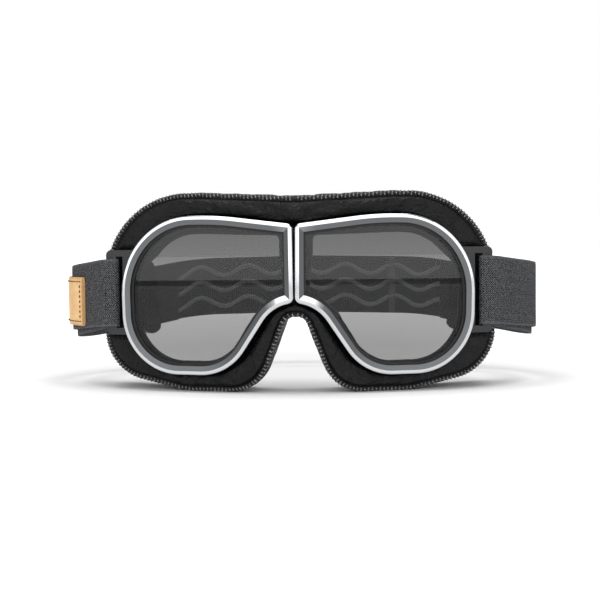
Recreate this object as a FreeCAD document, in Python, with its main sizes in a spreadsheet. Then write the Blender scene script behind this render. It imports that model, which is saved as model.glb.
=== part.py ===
import FreeCAD, Part
import math
import os
import Sketcher
from FreeCAD import Placement, Rotation, Vector

# Motorcycle goggles: two flat lenses in chrome rims, hinged at the bridge, on a padded leather face
# frame, with a looped elastic strap.  Millimetres.  +X is the right of the front view, the lenses
# face -Y, +Z is up, and the origin is the bottom centre of the bounding box.
#
# The right half is modelled and the left half is its mirror image.  Rim, lens, frame and bracket are
# drawn in the pane's own frame: x along the pane from the bridge, depth behind the rim's face, and
# each is then turned about Z by the wrap angle.

DIMS = {
    # rims and lenses, in the pane's own plane
    "wrap_angle": 16.0,
    "rim_width": 89.8,
    "rim_bottom": 8.5,
    "rim_top": 84.5,
    "rim_gap": 0.9,
    "rim_gap_low": 0.6,
    "bridge_drop": 4.8,
    "bridge_corner": 3.0,
    "brow_x": 40.0,
    "brow_radius": 150.0,
    "temple_top_drop": 0.6,
    "temple_top_radius": 36.5,
    "temple_rake": 1.8,
    "temple_low_radius": 29.5,
    "cheek_x": 33.5,
    "cheek_radius": 27.0,
    "nose_x": 11.6,
    "nose_z": 40.6,
    "nose_rise": 2.8,
    "nose_radius": 20.0,
    # layers of a rim, by depth
    "rim_band": 4.2,
    "rim_wall": 1.4,
    "rim_lip": 1.3,
    "rim_slope": 2.4,
    "rim_slope_depth": 0.9,
    "rim_edge_radius": 0.7,
    "gasket_band": 1.3,
    "gasket_lip": 0.6,
    "gasket_wall": 1.2,
    "lens_thickness": 2.2,
    "frame_thickness": 3.0,
    "frame_inset": 0.6,
    "frame_band": 5.6,
    "mitre_gap": 0.25,
    # padded face frame
    "pad_half_width": 94.8,
    "pad_height": 95.4,
    "pad_flat_in": 18.3,
    "pad_flat_out": 54.0,
    "pad_lobe_radius": 20.0,
    "pad_base_radius": 40.0,
    "pad_jaw_flare": 1.2,
    "pad_jaw_rise": 9.5,
    "pad_jaw_radius": 24.0,
    "pad_temple_radius": 42.0,
    "pad_brow_x": 46.0,
    "pad_brow_radius": 60.0,
    "pad_dip": 2.8,
    "arch_half_width": 4.2,
    "arch_height": 36.4,
    "arch_radius": 5.0,
    "pad_front": 7.0,
    "pad_back": 36.0,
    "face_radius": 150.0,
    "eye_inset": 8.5,
    "cover_thickness": 1.6,
    "lining_thickness": 2.5,
    "strap_room": 4.0,
    "strap_relief_width": 30.0,
    "seat_clearance": 0.3,
    # bridge hinge
    "pin_depth": 9.0,
    "pin_diameter": 2.4,
    "pin_clearance": 0.12,
    "pin_head_diameter": 3.6,
    "pin_head_height": 0.8,
    "knuckle_diameter": 5.0,
    "knuckle_height": 4.8,
    "knuckle_clearance": 0.1,
    "web_reach": 4.0,
    "web_depth": 1.5,
    "hinge_low": 52.0,
    "fold_limit": 40.0,
    "fold_clearance": 2.0,
    # strap brackets
    "strap_z": 47.7,
    "bracket_height": 41.5,
    "bracket_thickness": 1.5,
    "bracket_tuck": 6.0,
    "bracket_corner": 2.5,
    "window_margin": 0.8,
    "window_width": 4.4,
    "window_height": 35.2,
    "bar_width": 4.6,
    "rivet_spacing": 24.0,
    "rivet_diameter": 2.0,
    "rivet_head_diameter": 3.4,
    "rivet_head_height": 0.6,
    "rivet_inset": 4.4,
    # strap
    "strap_height": 33.0,
    "strap_thickness": 1.2,
    "strap_gap": 0.3,
    "strap_bend_ease": 0.98,
    "strap_bar_radius": 8.0,
    "strap_side_radius": 40.0,
    "strap_quarter_radius": 40.0,
    "strap_rear_radius": 45.0,
    "strap_side_x": 127.0,
    "strap_side_y": 68.0,
    "strap_quarter_x": 110.0,
    "strap_quarter_y": 106.0,
    "strap_rear_x": 68.0,
    "strap_rear_y": 146.0,
    "strap_back_y": 151.0,
    "strap_droop": 9.0,
    "strap_split_x": 60.0,
    "grip_height": 2.6,
    "grip_thickness": 0.5,
    "grip_spacing": 9.0,
    # sliders and label
    "slider_length": 11.0,
    "slider_wall": 1.3,
    "slider_end_wall": 1.2,
    "slider_arch": 2.6,
    "slider_clearance": 0.5,
    "slider_window": 5.0,
    "slider_travel": 10.0,
    "slider_rest_left": 0.0,
    "slider_rest_right": 7.0,
    "label_height": 24.5,
    "label_length": 34.0,
    "label_thickness": 1.8,
    "label_z": 42.7,
    "label_start": 30.0,
    "contact_gap": 0.1,
}

doc = FreeCAD.newDocument("goggles")
sheet = doc.addObject("Spreadsheet::Sheet", "dims")
for row, (alias, value) in enumerate(DIMS.items(), 1):
    sheet.set(f"A{row}", alias)
    sheet.set(f"B{row}", str(value))
    sheet.setAlias(f"B{row}", alias)
doc.recompute()

Z_AXIS = Vector(0, 0, 1)


def size(alias):
    return float(sheet.get(alias))


def value_of(expression):
    result = sheet.evalExpression(expression)
    return float(getattr(result, "Value", result))


def bind(item, **expressions):
    for name, expression in expressions.items():
        item.setExpression(name.replace("__", "."), expression)
    return item


# outlines

def outline_sketch(name, corners):
    # A closed outline of straight runs joined by tangent arcs.  Each corner is (x, z, radius), given
    # as expressions, and stays in the sketch as a construction point that both its runs pass through.
    sketch = doc.addObject("Sketcher::SketchObject", name)
    sketch.Placement = Placement(Vector(0, 0, 0), Rotation(Vector(1, 0, 0), 90))
    points = [Vector(value_of(x), value_of(z), 0) for x, z, _ in corners]
    radii = [value_of(radius) for _, _, radius in corners]
    count = len(corners)
    arcs = []
    for i, point in enumerate(points):
        incoming = (point - points[i - 1]).normalize()
        outgoing = (points[(i + 1) % count] - point).normalize()
        turn = math.atan2(incoming.cross(outgoing).z, incoming.dot(outgoing))
        reach = radii[i] * math.tan(abs(turn) / 2)
        side = 1 if turn > 0 else -1
        left = Vector(-incoming.y, incoming.x, 0) * side
        start = point - incoming * reach
        arcs.append((start, point + outgoing * reach, start + left * radii[i], side))
    for i, (start, end, centre, side) in enumerate(arcs):
        first, last = (start, end) if side > 0 else (end, start)
        angles = [math.atan2(p.y - centre.y, p.x - centre.x) for p in (first, last)]
        circle = Part.Circle(centre, Z_AXIS, radii[i])
        sketch.addGeometry(Part.ArcOfCircle(circle, angles[0], angles[1]), False)
    for i in range(count):
        sketch.addGeometry(Part.LineSegment(arcs[i][1], arcs[(i + 1) % count][0]), False)
    for i, point in enumerate(points):
        sketch.addGeometry(Part.Point(point), True)
    for i in range(count):
        before, after, corner = count + (i - 1) % count, count + i, 2 * count + i
        arc_start, arc_end = (1, 2) if arcs[i][3] > 0 else (2, 1)
        sketch.addConstraint(Sketcher.Constraint("Tangent", before, 2, i, arc_start))
        sketch.addConstraint(Sketcher.Constraint("Tangent", i, arc_end, after, 1))
        sketch.addConstraint(Sketcher.Constraint("PointOnObject", corner, 1, before))
        sketch.addConstraint(Sketcher.Constraint("PointOnObject", corner, 1, after))
    for i, (x, z, radius) in enumerate(corners):
        corner = 2 * count + i
        number = sketch.addConstraint(Sketcher.Constraint("DistanceX", corner, 1, points[i].x))
        sketch.setExpression(f"Constraints[{number}]", x)
        number = sketch.addConstraint(Sketcher.Constraint("DistanceY", corner, 1, points[i].y))
        sketch.setExpression(f"Constraints[{number}]", z)
        number = sketch.addConstraint(Sketcher.Constraint("Radius", i, radii[i]))
        sketch.setExpression(f"Constraints[{number}]", radius)
    return sketch


RIM_CORNERS = [
    ("dims.rim_gap", "dims.rim_top - dims.bridge_drop", "dims.bridge_corner"),
    ("dims.rim_gap_low", "dims.nose_z + dims.nose_rise", "dims.bridge_corner"),
    ("dims.nose_x", "dims.nose_z", "dims.nose_radius"),
    ("dims.cheek_x", "dims.rim_bottom", "dims.cheek_radius"),
    ("dims.rim_width - dims.temple_rake", "dims.rim_bottom", "dims.temple_low_radius"),
    ("dims.rim_width", "dims.rim_top - dims.temple_top_drop", "dims.temple_top_radius"),
    ("dims.brow_x", "dims.rim_top", "dims.brow_radius"),
]
RIGHT_PAD_CORNERS = [
    ("dims.arch_half_width", "dims.arch_height", "dims.arch_radius"),
    ("dims.pad_flat_in", "0", "dims.pad_lobe_radius"),
    ("dims.pad_flat_out", "0", "dims.pad_base_radius"),
    ("dims.pad_half_width + dims.pad_jaw_flare", "dims.pad_jaw_rise", "dims.pad_jaw_radius"),
    ("dims.pad_half_width", "dims.pad_height", "dims.pad_temple_radius"),
    ("dims.pad_brow_x", "dims.pad_height", "dims.pad_brow_radius"),
]
DIP_CORNER = ("0", "dims.pad_height - dims.pad_dip", "dims.pad_brow_radius")
LEFT_PAD_CORNERS = [(f"-({x})", z, radius) for x, z, radius in reversed(RIGHT_PAD_CORNERS)]

rim_outline = outline_sketch("rim_outline", RIM_CORNERS)
pad_outline = outline_sketch("pad_outline", RIGHT_PAD_CORNERS + [DIP_CORNER] + LEFT_PAD_CORNERS)
doc.recompute()


# shared steps

RIM_DEPTH = "(dims.rim_slope_depth + dims.rim_lip + dims.gasket_lip + dims.lens_thickness)"
LIP_DEPTH = "(dims.rim_slope_depth + dims.rim_lip)"
FRAME_BACK = f"({RIM_DEPTH} + dims.frame_thickness)"
PAD_SEAT = f"({FRAME_BACK} + dims.rivet_head_height + dims.seat_clearance)"
BAR_START = "(dims.rim_width + dims.window_margin + dims.window_width)"
FAR = 200.0


def plate(name, outline, inset, front, back, slanted=False):
    # The outline, moved inward by inset, as a plate between two depths.  A slanted plate starts on
    # the turned pane and runs straight back along Y, the others run square to the pane.
    source = outline
    if inset != "0":
        source = doc.addObject("Part::Offset2D", name + "_outline")
        source.Source = outline
        bind(source, Value=f"-({inset})")
    solid = doc.addObject("Part::Extrusion", name)
    solid.Base = source
    solid.DirMode = "Custom"
    solid.Dir = Vector(0, 1, 0)
    solid.Solid = True
    if slanted:
        angle = math.radians(size("wrap_angle"))
        solid.Dir = Vector(math.sin(angle), math.cos(angle), 0)
    return bind(solid, LengthFwd=back, LengthRev=f"-({front})")


def box(name, x, y, z, width, depth, height):
    solid = doc.addObject("Part::Box", name)
    bind(solid, Length=width, Width=depth, Height=height)
    return bind(solid, Placement__Base__x=x, Placement__Base__y=y, Placement__Base__z=z)


def rod(name, x, y, z, diameter, height, along_y=False):
    solid = doc.addObject("Part::Cylinder", name)
    if along_y:
        solid.Placement = Placement(Vector(0, 0, 0), Rotation(Vector(1, 0, 0), -90))
    bind(solid, Radius=f"({diameter}) / 2", Height=height)
    return bind(solid, Placement__Base__x=x, Placement__Base__y=y, Placement__Base__z=z)


def cut(name, base, *tools):
    for i, tool in enumerate(tools):
        result = doc.addObject("Part::Cut", name if i == len(tools) - 1 else f"{name}_cut")
        result.Base = base
        result.Tool = tool
        base = result
    return base


def fuse(name, *parts):
    result = doc.addObject("Part::MultiFuse", name)
    result.Shapes = list(parts)
    return result


def common(name, *parts):
    result = doc.addObject("Part::MultiCommon", name)
    result.Shapes = list(parts)
    return result


def wrapped(item):
    # Turns a piece drawn in the pane's frame to its place in the goggles.  A box has a corner of its
    # own, so it turns about the bridge inside a compound.
    if item.TypeId == "Part::Box":
        holder = doc.addObject("Part::Compound", item.Name + "_turned")
        holder.Links = [item]
        item = holder
    item.Placement = Placement(Vector(0, 0, 0), Rotation(Z_AXIS, size("wrap_angle")))
    return bind(item, Placement__Rotation__Angle="dims.wrap_angle")


def mirrored(name, item):
    result = doc.addObject("Part::Mirroring", name)
    result.Source = item
    result.Normal = Vector(1, 0, 0)
    return result


# The region on the far side of the mid plane, cut from the right half in front of the hinge pin,
# and the wedge behind the pin that the halves need clear to fold.
mitre_box = box("mitre_box", f"dims.mitre_gap - {FAR}", f"-{FAR}", f"-{FAR}", str(FAR), str(2 * FAR),
                str(2 * FAR))
FOLD_ANGLE = "-(dims.fold_limit / 2 + dims.fold_clearance)"


def fold_wedge(name, gap):
    wedge = doc.addObject("Part::Box", name)
    bind(wedge, Length=str(FAR), Width=str(FAR), Height=str(FAR))
    angle = math.radians(value_of(FOLD_ANGLE))
    corner = Vector(-FAR * math.cos(angle), -FAR * math.sin(angle), 0)
    turn = Rotation(Z_AXIS, math.degrees(angle))
    wedge.Placement = Placement(corner + Vector(gap, size("pin_depth"), -1), turn)
    return wedge


fold_box = fold_wedge("fold_box", size("mitre_gap"))

# rim, gasket, lens

rim_block = plate("rim_block", rim_outline, "0", "0", RIM_DEPTH)
rim_sight = plate("rim_sight", rim_outline, "dims.rim_band", "-1", f"{RIM_DEPTH} + 1")
rim_cavity = plate("rim_cavity", rim_outline, "dims.rim_wall", LIP_DEPTH, f"{RIM_DEPTH} + 1")
rim_ring = cut("rim_ring", rim_block, rim_sight, rim_cavity)
doc.recompute()

def front_edges(ring, inset):
    # The edges of the ring's front face that lie on the outline moved inward by inset.
    face = next(f for f in ring.Shape.Faces if abs(f.CenterOfMass.y) < 1e-6)
    wires = sorted(face.Wires, key=lambda wire: wire.Length, reverse=True)
    wire = wires[0] if inset == 0 else wires[1]
    return [i for i, edge in enumerate(ring.Shape.Edges, 1) if any(edge.isSame(e) for e in wire.Edges)]


rim_sloped = doc.addObject("Part::Chamfer", "rim_sloped")
rim_sloped.Base = rim_ring
slope, slope_depth = size("rim_slope"), size("rim_slope_depth")
inner_edges = front_edges(rim_ring, 1)
rim_sloped.Edges = [(i, slope, slope_depth) for i in inner_edges]
doc.recompute()
rim_rounded = doc.addObject("Part::Fillet", "rim_rounded")
rim_rounded.Base = rim_sloped
radius = size("rim_edge_radius")
rim_rounded.Edges = [(i, radius, radius) for i in front_edges(rim_sloped, 0)]
doc.recompute()
bezel_right = cut("bezel_right", wrapped(rim_rounded), mitre_box)

gasket_block = plate("gasket_block", rim_outline, "dims.rim_wall", LIP_DEPTH, RIM_DEPTH)
gasket_sight = plate("gasket_sight", rim_outline, "dims.rim_band + dims.gasket_band", "-1",
                     f"{RIM_DEPTH} + 1")
LENS_INSET = "dims.rim_wall + dims.gasket_wall"
LENS_FRONT = f"({LIP_DEPTH} + dims.gasket_lip)"
gasket_pocket = plate("gasket_pocket", rim_outline, LENS_INSET, LENS_FRONT, f"{RIM_DEPTH} + 1")
gasket_ring = wrapped(cut("gasket_ring", gasket_block, gasket_sight, gasket_pocket))
gasket_right = cut("gasket_right", gasket_ring, mitre_box)

lens_block = wrapped(plate("lens_block", rim_outline, LENS_INSET, LENS_FRONT, RIM_DEPTH))
lens_right = cut("lens_right", lens_block, mitre_box)

# strap bracket and its rivets

BRACKET_START = "dims.rim_width - dims.bracket_tuck"
BRACKET_LENGTH = f"({BAR_START} + dims.bar_width - ({BRACKET_START}))"
RIVET_X = "dims.rim_width - dims.rivet_inset"
bracket_plate = box("bracket_plate", BRACKET_START, RIM_DEPTH, "dims.strap_z - dims.bracket_height / 2",
                    BRACKET_LENGTH, "dims.bracket_thickness", "dims.bracket_height")
doc.recompute()
bracket_round = doc.addObject("Part::Fillet", "bracket_round")
bracket_round.Base = bracket_plate
corner = size("bracket_corner")
upright = bracket_plate.Shape.BoundBox.XMax
bracket_round.Edges = [(i, corner, corner) for i, edge in enumerate(bracket_plate.Shape.Edges, 1)
                       if all(abs(v.X - upright) < 1e-6 for v in edge.Vertexes)
                       and abs(edge.Vertexes[0].Y - edge.Vertexes[-1].Y) > 1e-6]
WINDOW_LOW = "dims.strap_z - dims.window_height / 2"
window = box("window", f"{BAR_START} - dims.window_width", f"{RIM_DEPTH} - 1", WINDOW_LOW,
             "dims.window_width", "dims.bracket_thickness + 2", "dims.window_height")


def rivet_rods(name, diameter, front, back):
    rods = [rod(f"{name}_{i}", RIVET_X, front, f"dims.strap_z + {side} * dims.rivet_spacing / 2",
                diameter, f"({back}) - ({front})", along_y=True) for i, side in enumerate((-1, 1))]
    return fuse(name, *rods)


rivet_shanks = rivet_rods("rivet_shanks", "dims.rivet_diameter", RIM_DEPTH, FRAME_BACK)
rivet_heads = rivet_rods("rivet_heads", "dims.rivet_head_diameter", FRAME_BACK,
                         f"{FRAME_BACK} + dims.rivet_head_height")
bracket_right = wrapped(cut("bracket_right", bracket_round, window, rivet_shanks))
rivets_right = wrapped(fuse("rivets_right", rivet_shanks, rivet_heads))

# eyecup frame with its hinge knuckles

frame_block = plate("frame_block", rim_outline, "dims.frame_inset", RIM_DEPTH, FRAME_BACK)
frame_sight = plate("frame_sight", rim_outline, "dims.frame_inset + dims.frame_band", f"{RIM_DEPTH} - 1",
                    f"{FRAME_BACK} + 1")
frame_ring = wrapped(cut("frame_ring", frame_block, frame_sight, bracket_plate, rivet_shanks))
frame_half = cut("frame_half", frame_ring, mitre_box, fold_box)
frame_half_left = mirrored("frame_half_left", frame_half)
PIN_Y = "dims.pin_depth"
KNUCKLES = 5
PIN_TOP = f"(dims.hinge_low + {KNUCKLES} * dims.knuckle_height)"


def knuckle(name, index, diameter, clearance):
    low = f"dims.hinge_low + {index} * dims.knuckle_height - {clearance}"
    return rod(name, "0", PIN_Y, low, diameter, f"dims.knuckle_height + 2 * {clearance}")


def hinged_frame(side, half, owned, direction):
    # One frame with its own knuckles, cut clear of the other frame's knuckles and of the pin.
    others = [i for i in range(KNUCKLES) if i not in owned]
    room = "dims.knuckle_diameter + 4 * dims.seat_clearance"
    gaps = [knuckle(f"room_{side}_{i}", i, room, "dims.knuckle_clearance") for i in others]
    barrels = []
    for i in owned:
        barrel = knuckle(f"barrel_{side}_{i}", i, "dims.knuckle_diameter", "(-dims.knuckle_clearance)")
        start = "0" if direction > 0 else "-dims.web_reach"
        web = box(f"web_{side}_{i}", start, "dims.pin_depth - dims.web_depth",
                  f"dims.hinge_low + {i} * dims.knuckle_height + dims.knuckle_clearance",
                  "dims.web_reach", "dims.web_depth",
                  "dims.knuckle_height - 2 * dims.knuckle_clearance")
        barrels += [barrel, web]
    gaps.append(rod(f"head_room_{side}", "0", PIN_Y, f"{PIN_TOP} - dims.knuckle_clearance",
                    "dims.pin_head_diameter + 2 * dims.seat_clearance",
                    "dims.pin_head_height + dims.knuckle_clearance + dims.seat_clearance"))
    joined = fuse(f"frame_joined_{side}", cut(f"frame_cleared_{side}", half, *gaps), *barrels)
    bore = rod(f"bore_{side}", "0", PIN_Y, "dims.hinge_low - 1",
               "dims.pin_diameter + 2 * dims.pin_clearance", f"{KNUCKLES} * dims.knuckle_height + 2")
    return cut(f"frame_{side}", joined, bore)


frame_right = hinged_frame("right", frame_half, (1, 3), 1)
frame_left = hinged_frame("left", frame_half_left, (0, 2, 4), -1)

pin_shank = rod("pin_shank", "0", PIN_Y, "dims.hinge_low", "dims.pin_diameter",
                f"{KNUCKLES} * dims.knuckle_height")
pin_head = rod("pin_head", "0", PIN_Y, PIN_TOP, "dims.pin_head_diameter", "dims.pin_head_height")
hinge_pin = fuse("hinge_pin", pin_shank, pin_head)

# padded face frame

pad_prism = plate("pad_prism", pad_outline, "0", "0", "dims.strap_back_y")
core_prism = plate("core_prism", pad_outline, "dims.cover_thickness", "-1", "dims.strap_back_y")
front_box = wrapped(box("front_box", f"-{FAR}", f"-{FAR}", f"-{FAR}", str(3 * FAR),
                        f"{FAR} + dims.pad_front", str(3 * FAR)))
core_front = wrapped(box("core_front", f"-{FAR}", f"-{FAR}", f"-{FAR}", str(3 * FAR),
                         f"{FAR} + dims.pad_front + dims.cover_thickness", str(3 * FAR)))
seat = wrapped(plate("seat", rim_outline, "-dims.seat_clearance", "-1", PAD_SEAT))
eye_well = wrapped(plate("eye_well", rim_outline, "dims.eye_inset", "-1", "dims.strap_back_y",
                         slanted=True))
RELIEF_DEPTH = f"{RIM_DEPTH} + dims.bracket_thickness + dims.strap_thickness + dims.strap_room"
strap_relief = wrapped(box("strap_relief", "dims.rim_width - 1", "0", f"{WINDOW_LOW} - 1",
                           "dims.strap_relief_width", RELIEF_DEPTH, "dims.window_height + 2"))
FACE_Y = "dims.pad_back + dims.face_radius"
face = rod("face", "0", FACE_Y, f"-{FAR}", "2 * dims.face_radius", str(2 * FAR))
face_lining = rod("face_lining", "0", FACE_Y, f"-{FAR}",
                  "2 * (dims.face_radius + dims.lining_thickness)", str(2 * FAR))
hinge_room = rod("hinge_room", "0", PIN_Y, "dims.hinge_low - 1",
                 "dims.knuckle_diameter + 4 * dims.seat_clearance",
                 f"{KNUCKLES} * dims.knuckle_height + dims.pin_head_height + 2")

pad_right = cut("pad_right", pad_prism, front_box, mitre_box, fold_box, seat, eye_well, strap_relief,
                hinge_room)
pad_core = cut("pad_core", core_prism, core_front)
back_layer = common("back_layer", pad_right, face_lining)
lining_right = cut("lining_right", back_layer, face)
pad_body = cut("pad_body", pad_right, face_lining)
foam_right = common("foam_right", pad_body, pad_core)
cover_right = cut("cover_right", pad_body, pad_core)

# The padded leather over the bridge fills the wedge between the halves.
bridge_clear = fold_wedge("bridge_clear", -size("seat_clearance"))
bridge_clear_left = mirrored("bridge_clear_left", bridge_clear)
BRIDGE_FRONT = "dims.pin_depth + dims.knuckle_diameter / 2 + dims.seat_clearance * 2"
bridge_box = box("bridge_box", "-dims.pad_brow_x", BRIDGE_FRONT, "0",
                 "2 * dims.pad_brow_x", "dims.strap_back_y", "dims.pad_height")
bridge_wedge = common("bridge_wedge", pad_prism, bridge_box, bridge_clear, bridge_clear_left)
eye_well_left = mirrored("eye_well_left", eye_well)
bridge_pad = cut("bridge_pad", bridge_wedge, eye_well, eye_well_left, face)

# strap route

def pane_point(x, depth):
    return Rotation(Z_AXIS, size("wrap_angle")).multVec(Vector(x, depth, 0))


def rounded_route(corners):
    # Runs and tangent arcs through (point, radius) corners, as a list of edges.
    edges = []
    start = corners[0][0]
    for i in range(1, len(corners) - 1):
        point, radius = corners[i]
        incoming = (point - corners[i - 1][0]).normalize()
        outgoing = (corners[i + 1][0] - point).normalize()
        half = incoming.getAngle(outgoing) / 2
        reach = radius * math.tan(half)
        before, after = point - incoming * reach, point + outgoing * reach
        middle = point + (outgoing - incoming).normalize() * (radius / math.cos(half) - radius)
        edges.append(Part.LineSegment(start, before).toShape())
        edges.append(Part.Arc(before, middle, after).toShape())
        start = after
    edges.append(Part.LineSegment(start, corners[-1][0]).toShape())
    return edges


def spans(edges, start, end, longest=8.0, least=3):
    # For each run or arc between two lengths of the route: its points, each with the direction to
    # its left and its length along the route.
    found = []
    passed = 0.0
    for edge in edges:
        low, high = max(start - passed, 0.0), min(end - passed, edge.Length)
        if high - low > 1e-6:
            steps = max(least, math.ceil((high - low) / longest))
            stops = [low + (high - low) * k / steps for k in range(steps + 1)]
            marks = [edge.getParameterByLength(min(stop, edge.Length)) for stop in stops]
            lefts = [Vector(-edge.tangentAt(mark).y, edge.tangentAt(mark).x, 0) for mark in marks]
            found.append([(edge.valueAt(mark), left, passed + stop)
                          for mark, left, stop in zip(marks, lefts, stops)])
        passed += edge.Length
    return found


def length_to(edges, test):
    # The route length at which test first holds.
    total = sum(edge.Length for edge in edges)
    low, high = 0.0, total
    while high - low > 1e-6:
        middle = (low + high) / 2
        point = spans(edges, 0, middle)[-1][-1][0]
        low, high = (low, middle) if test(point) else (middle, high)
    return low


rim_depth = value_of(RIM_DEPTH)
half_strap = size("strap_thickness") / 2
layer_step = size("strap_thickness") + size("strap_gap")
front_layer = rim_depth - size("strap_gap") - half_strap
rear_layer = rim_depth + size("bracket_thickness") + size("strap_gap") + half_strap
bend_radius = (rear_layer - front_layer) / 2 * size("strap_bend_ease")
bend_x = value_of(BAR_START) + size("strap_gap") - bend_radius
bar_end = value_of(BAR_START) + size("bar_width") + layer_step
slot_y = pane_point(bend_x, front_layer).y
side = Vector(size("strap_side_x"), size("strap_side_y"), 0)
quarter = Vector(size("strap_quarter_x"), size("strap_quarter_y"), 0)
rear = Vector(size("strap_rear_x"), size("strap_rear_y"), 0)
back = Vector(0, size("strap_back_y"), 0)
BAR_RADIUS = size("strap_bar_radius")
SIDE_RADIUS = size("strap_side_radius")
QUARTER_RADIUS = size("strap_quarter_radius")
REAR_RADIUS = size("strap_rear_radius")


def droop(y):
    # How far the strap hangs below the brackets: most beside the ears, nothing at slot and back.
    share = (y - slot_y) / (size("strap_back_y") - slot_y)
    return size("strap_droop") * math.sin(math.pi * min(max(share, 0.0), 1.0))


def inward(before, point, after, step):
    # The corner of the same route moved step to its left.
    first, second = (point - before).normalize(), (after - point).normalize()
    half = first.getAngle(second) / 2
    left = Vector(-first.y - second.y, first.x + second.x, 0).normalize()
    return point + left * (step / math.cos(half))


turn_out = pane_point(bar_end, front_layer)
outer_route = rounded_route([
    (pane_point(bend_x, front_layer), 0), (turn_out, BAR_RADIUS), (side, SIDE_RADIUS),
    (quarter, QUARTER_RADIUS), (rear, REAR_RADIUS), (back, 0)])
inner_side = inward(turn_out, side, quarter, layer_step)
inner_quarter = inward(side, quarter, rear, layer_step)
inner_rear = inward(quarter, rear, back, layer_step)
looped_route = rounded_route([
    (inner_rear, 0), (inner_quarter, QUARTER_RADIUS - layer_step),
    (inner_side, SIDE_RADIUS - layer_step), (pane_point(bar_end - layer_step, rear_layer), BAR_RADIUS),
    (pane_point(bend_x, rear_layer), bend_radius),
    (pane_point(bend_x, front_layer), bend_radius), (turn_out, BAR_RADIUS), (side, SIDE_RADIUS),
    (quarter, QUARTER_RADIUS), (rear, REAR_RADIUS), (back, 0)])


def ribbon_span(points, near, far, low, high, hangs):
    # One run or arc of a ribbon: its lower face is the ruled surface between two edge curves that
    # share their parameters, and it is drawn upward.
    lengths = [length for _, _, length in points]
    drops = [droop(point.y) if hangs else 0 for point, _, _ in points]
    poles = []
    for offset in (near, far):
        spine = [p + left * offset + Z_AXIS * (low - drop) for (p, left, _), drop in zip(points, drops)]
        curve = Part.BSplineCurve()
        curve.interpolate(Points=spine, Parameters=lengths)
        poles.append(curve.getPoles())
    lower = Part.BSplineSurface()
    lower.buildFromPolesMultsKnots(poles, (2, 2), curve.getMultiplicities(), (0, 1), curve.getKnots(),
                                   False, False, 1, curve.Degree)
    band = lower.toShape().extrude(Vector(0, 0, high - low))
    if band.Volume < 0:
        band.reverse()
    return band


def ribbon(runs, near, far, low, high, hangs=True):
    # A band standing on edge along the route, between two sideways offsets.
    bands = [ribbon_span(points, near, far, low, high, hangs) for points in runs]
    return bands[0].multiFuse(bands[1:]) if len(bands) > 1 else bands[0]


def feature(label, shape):
    item = doc.addObject("Part::Feature", label)
    item.Shape = shape
    return item


strap_low = size("strap_z") - size("strap_height") / 2
strap_high = strap_low + size("strap_height")


def past_split(point):
    return point.x < size("strap_split_x")


def length_of(edges):
    return sum(edge.Length for edge in edges)


# The rear run is where a route passes the split: edge 10 of the looped one and edge 7 of the outer.
loop_split = length_of(looped_route[:10]) + length_to(looped_route[10:], past_split)
straight = outer_route[6]
travel = size("slider_travel") + size("slider_length") / 2 + size("strap_gap")
inner_end = looped_route[0].Length / 2 - travel
loop_spans = spans(looped_route, inner_end, loop_split)
strap_right = feature("strap_right", ribbon(loop_spans, -half_strap, half_strap, strap_low, strap_high))

back_route = outer_route + rounded_route([
    (back, 0), (Vector(-rear.x, rear.y, 0), REAR_RADIUS), (Vector(-quarter.x, quarter.y, 0), 0)])
split_start = length_of(outer_route[:7]) + length_to(outer_route[7:], past_split)
gap = size("contact_gap")
split_end = 2 * length_of(outer_route) - split_start
back_spans = spans(back_route, split_start + gap, split_end - gap, longest=6.0)
strap_back = feature("strap_back", ribbon(back_spans, -half_strap, half_strap, strap_low, strap_high))
grips = []
for row in (-1, 0, 1):
    grip_low = size("strap_z") + row * size("grip_spacing") - size("grip_height") / 2
    grip_start = half_strap + gap
    grips.append(ribbon(back_spans, grip_start, grip_start + size("grip_thickness"),
                        grip_low, grip_low + size("grip_height")))
silicone_grips = feature("silicone_grips", Part.makeCompound(grips))

# label on the left strap

label_end = size("label_start") + size("label_length")
label_spans = spans(outer_route, size("label_start"), label_end, longest=5.0)
label_near = -half_strap - gap
label_low = size("label_z") - size("label_height") / 2
label_blank = feature("label_blank", ribbon(
    label_spans, label_near - size("label_thickness"), label_near,
    label_low, label_low + size("label_height"), hangs=False))
strap_label = mirrored("strap_label", label_blank)

# sliders

LAYERS = "(2 * dims.strap_thickness + dims.strap_gap)"
SLOT_DEPTH = f"({LAYERS} + 2 * dims.slider_clearance)"
SLOT_HEIGHT = "(dims.strap_height + 2 * dims.slider_clearance)"
SLIDER_DEPTH = f"({SLOT_DEPTH} + 2 * dims.slider_wall)"
SLIDER_HEIGHT = f"({SLOT_HEIGHT} + 2 * dims.slider_end_wall)"


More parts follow.
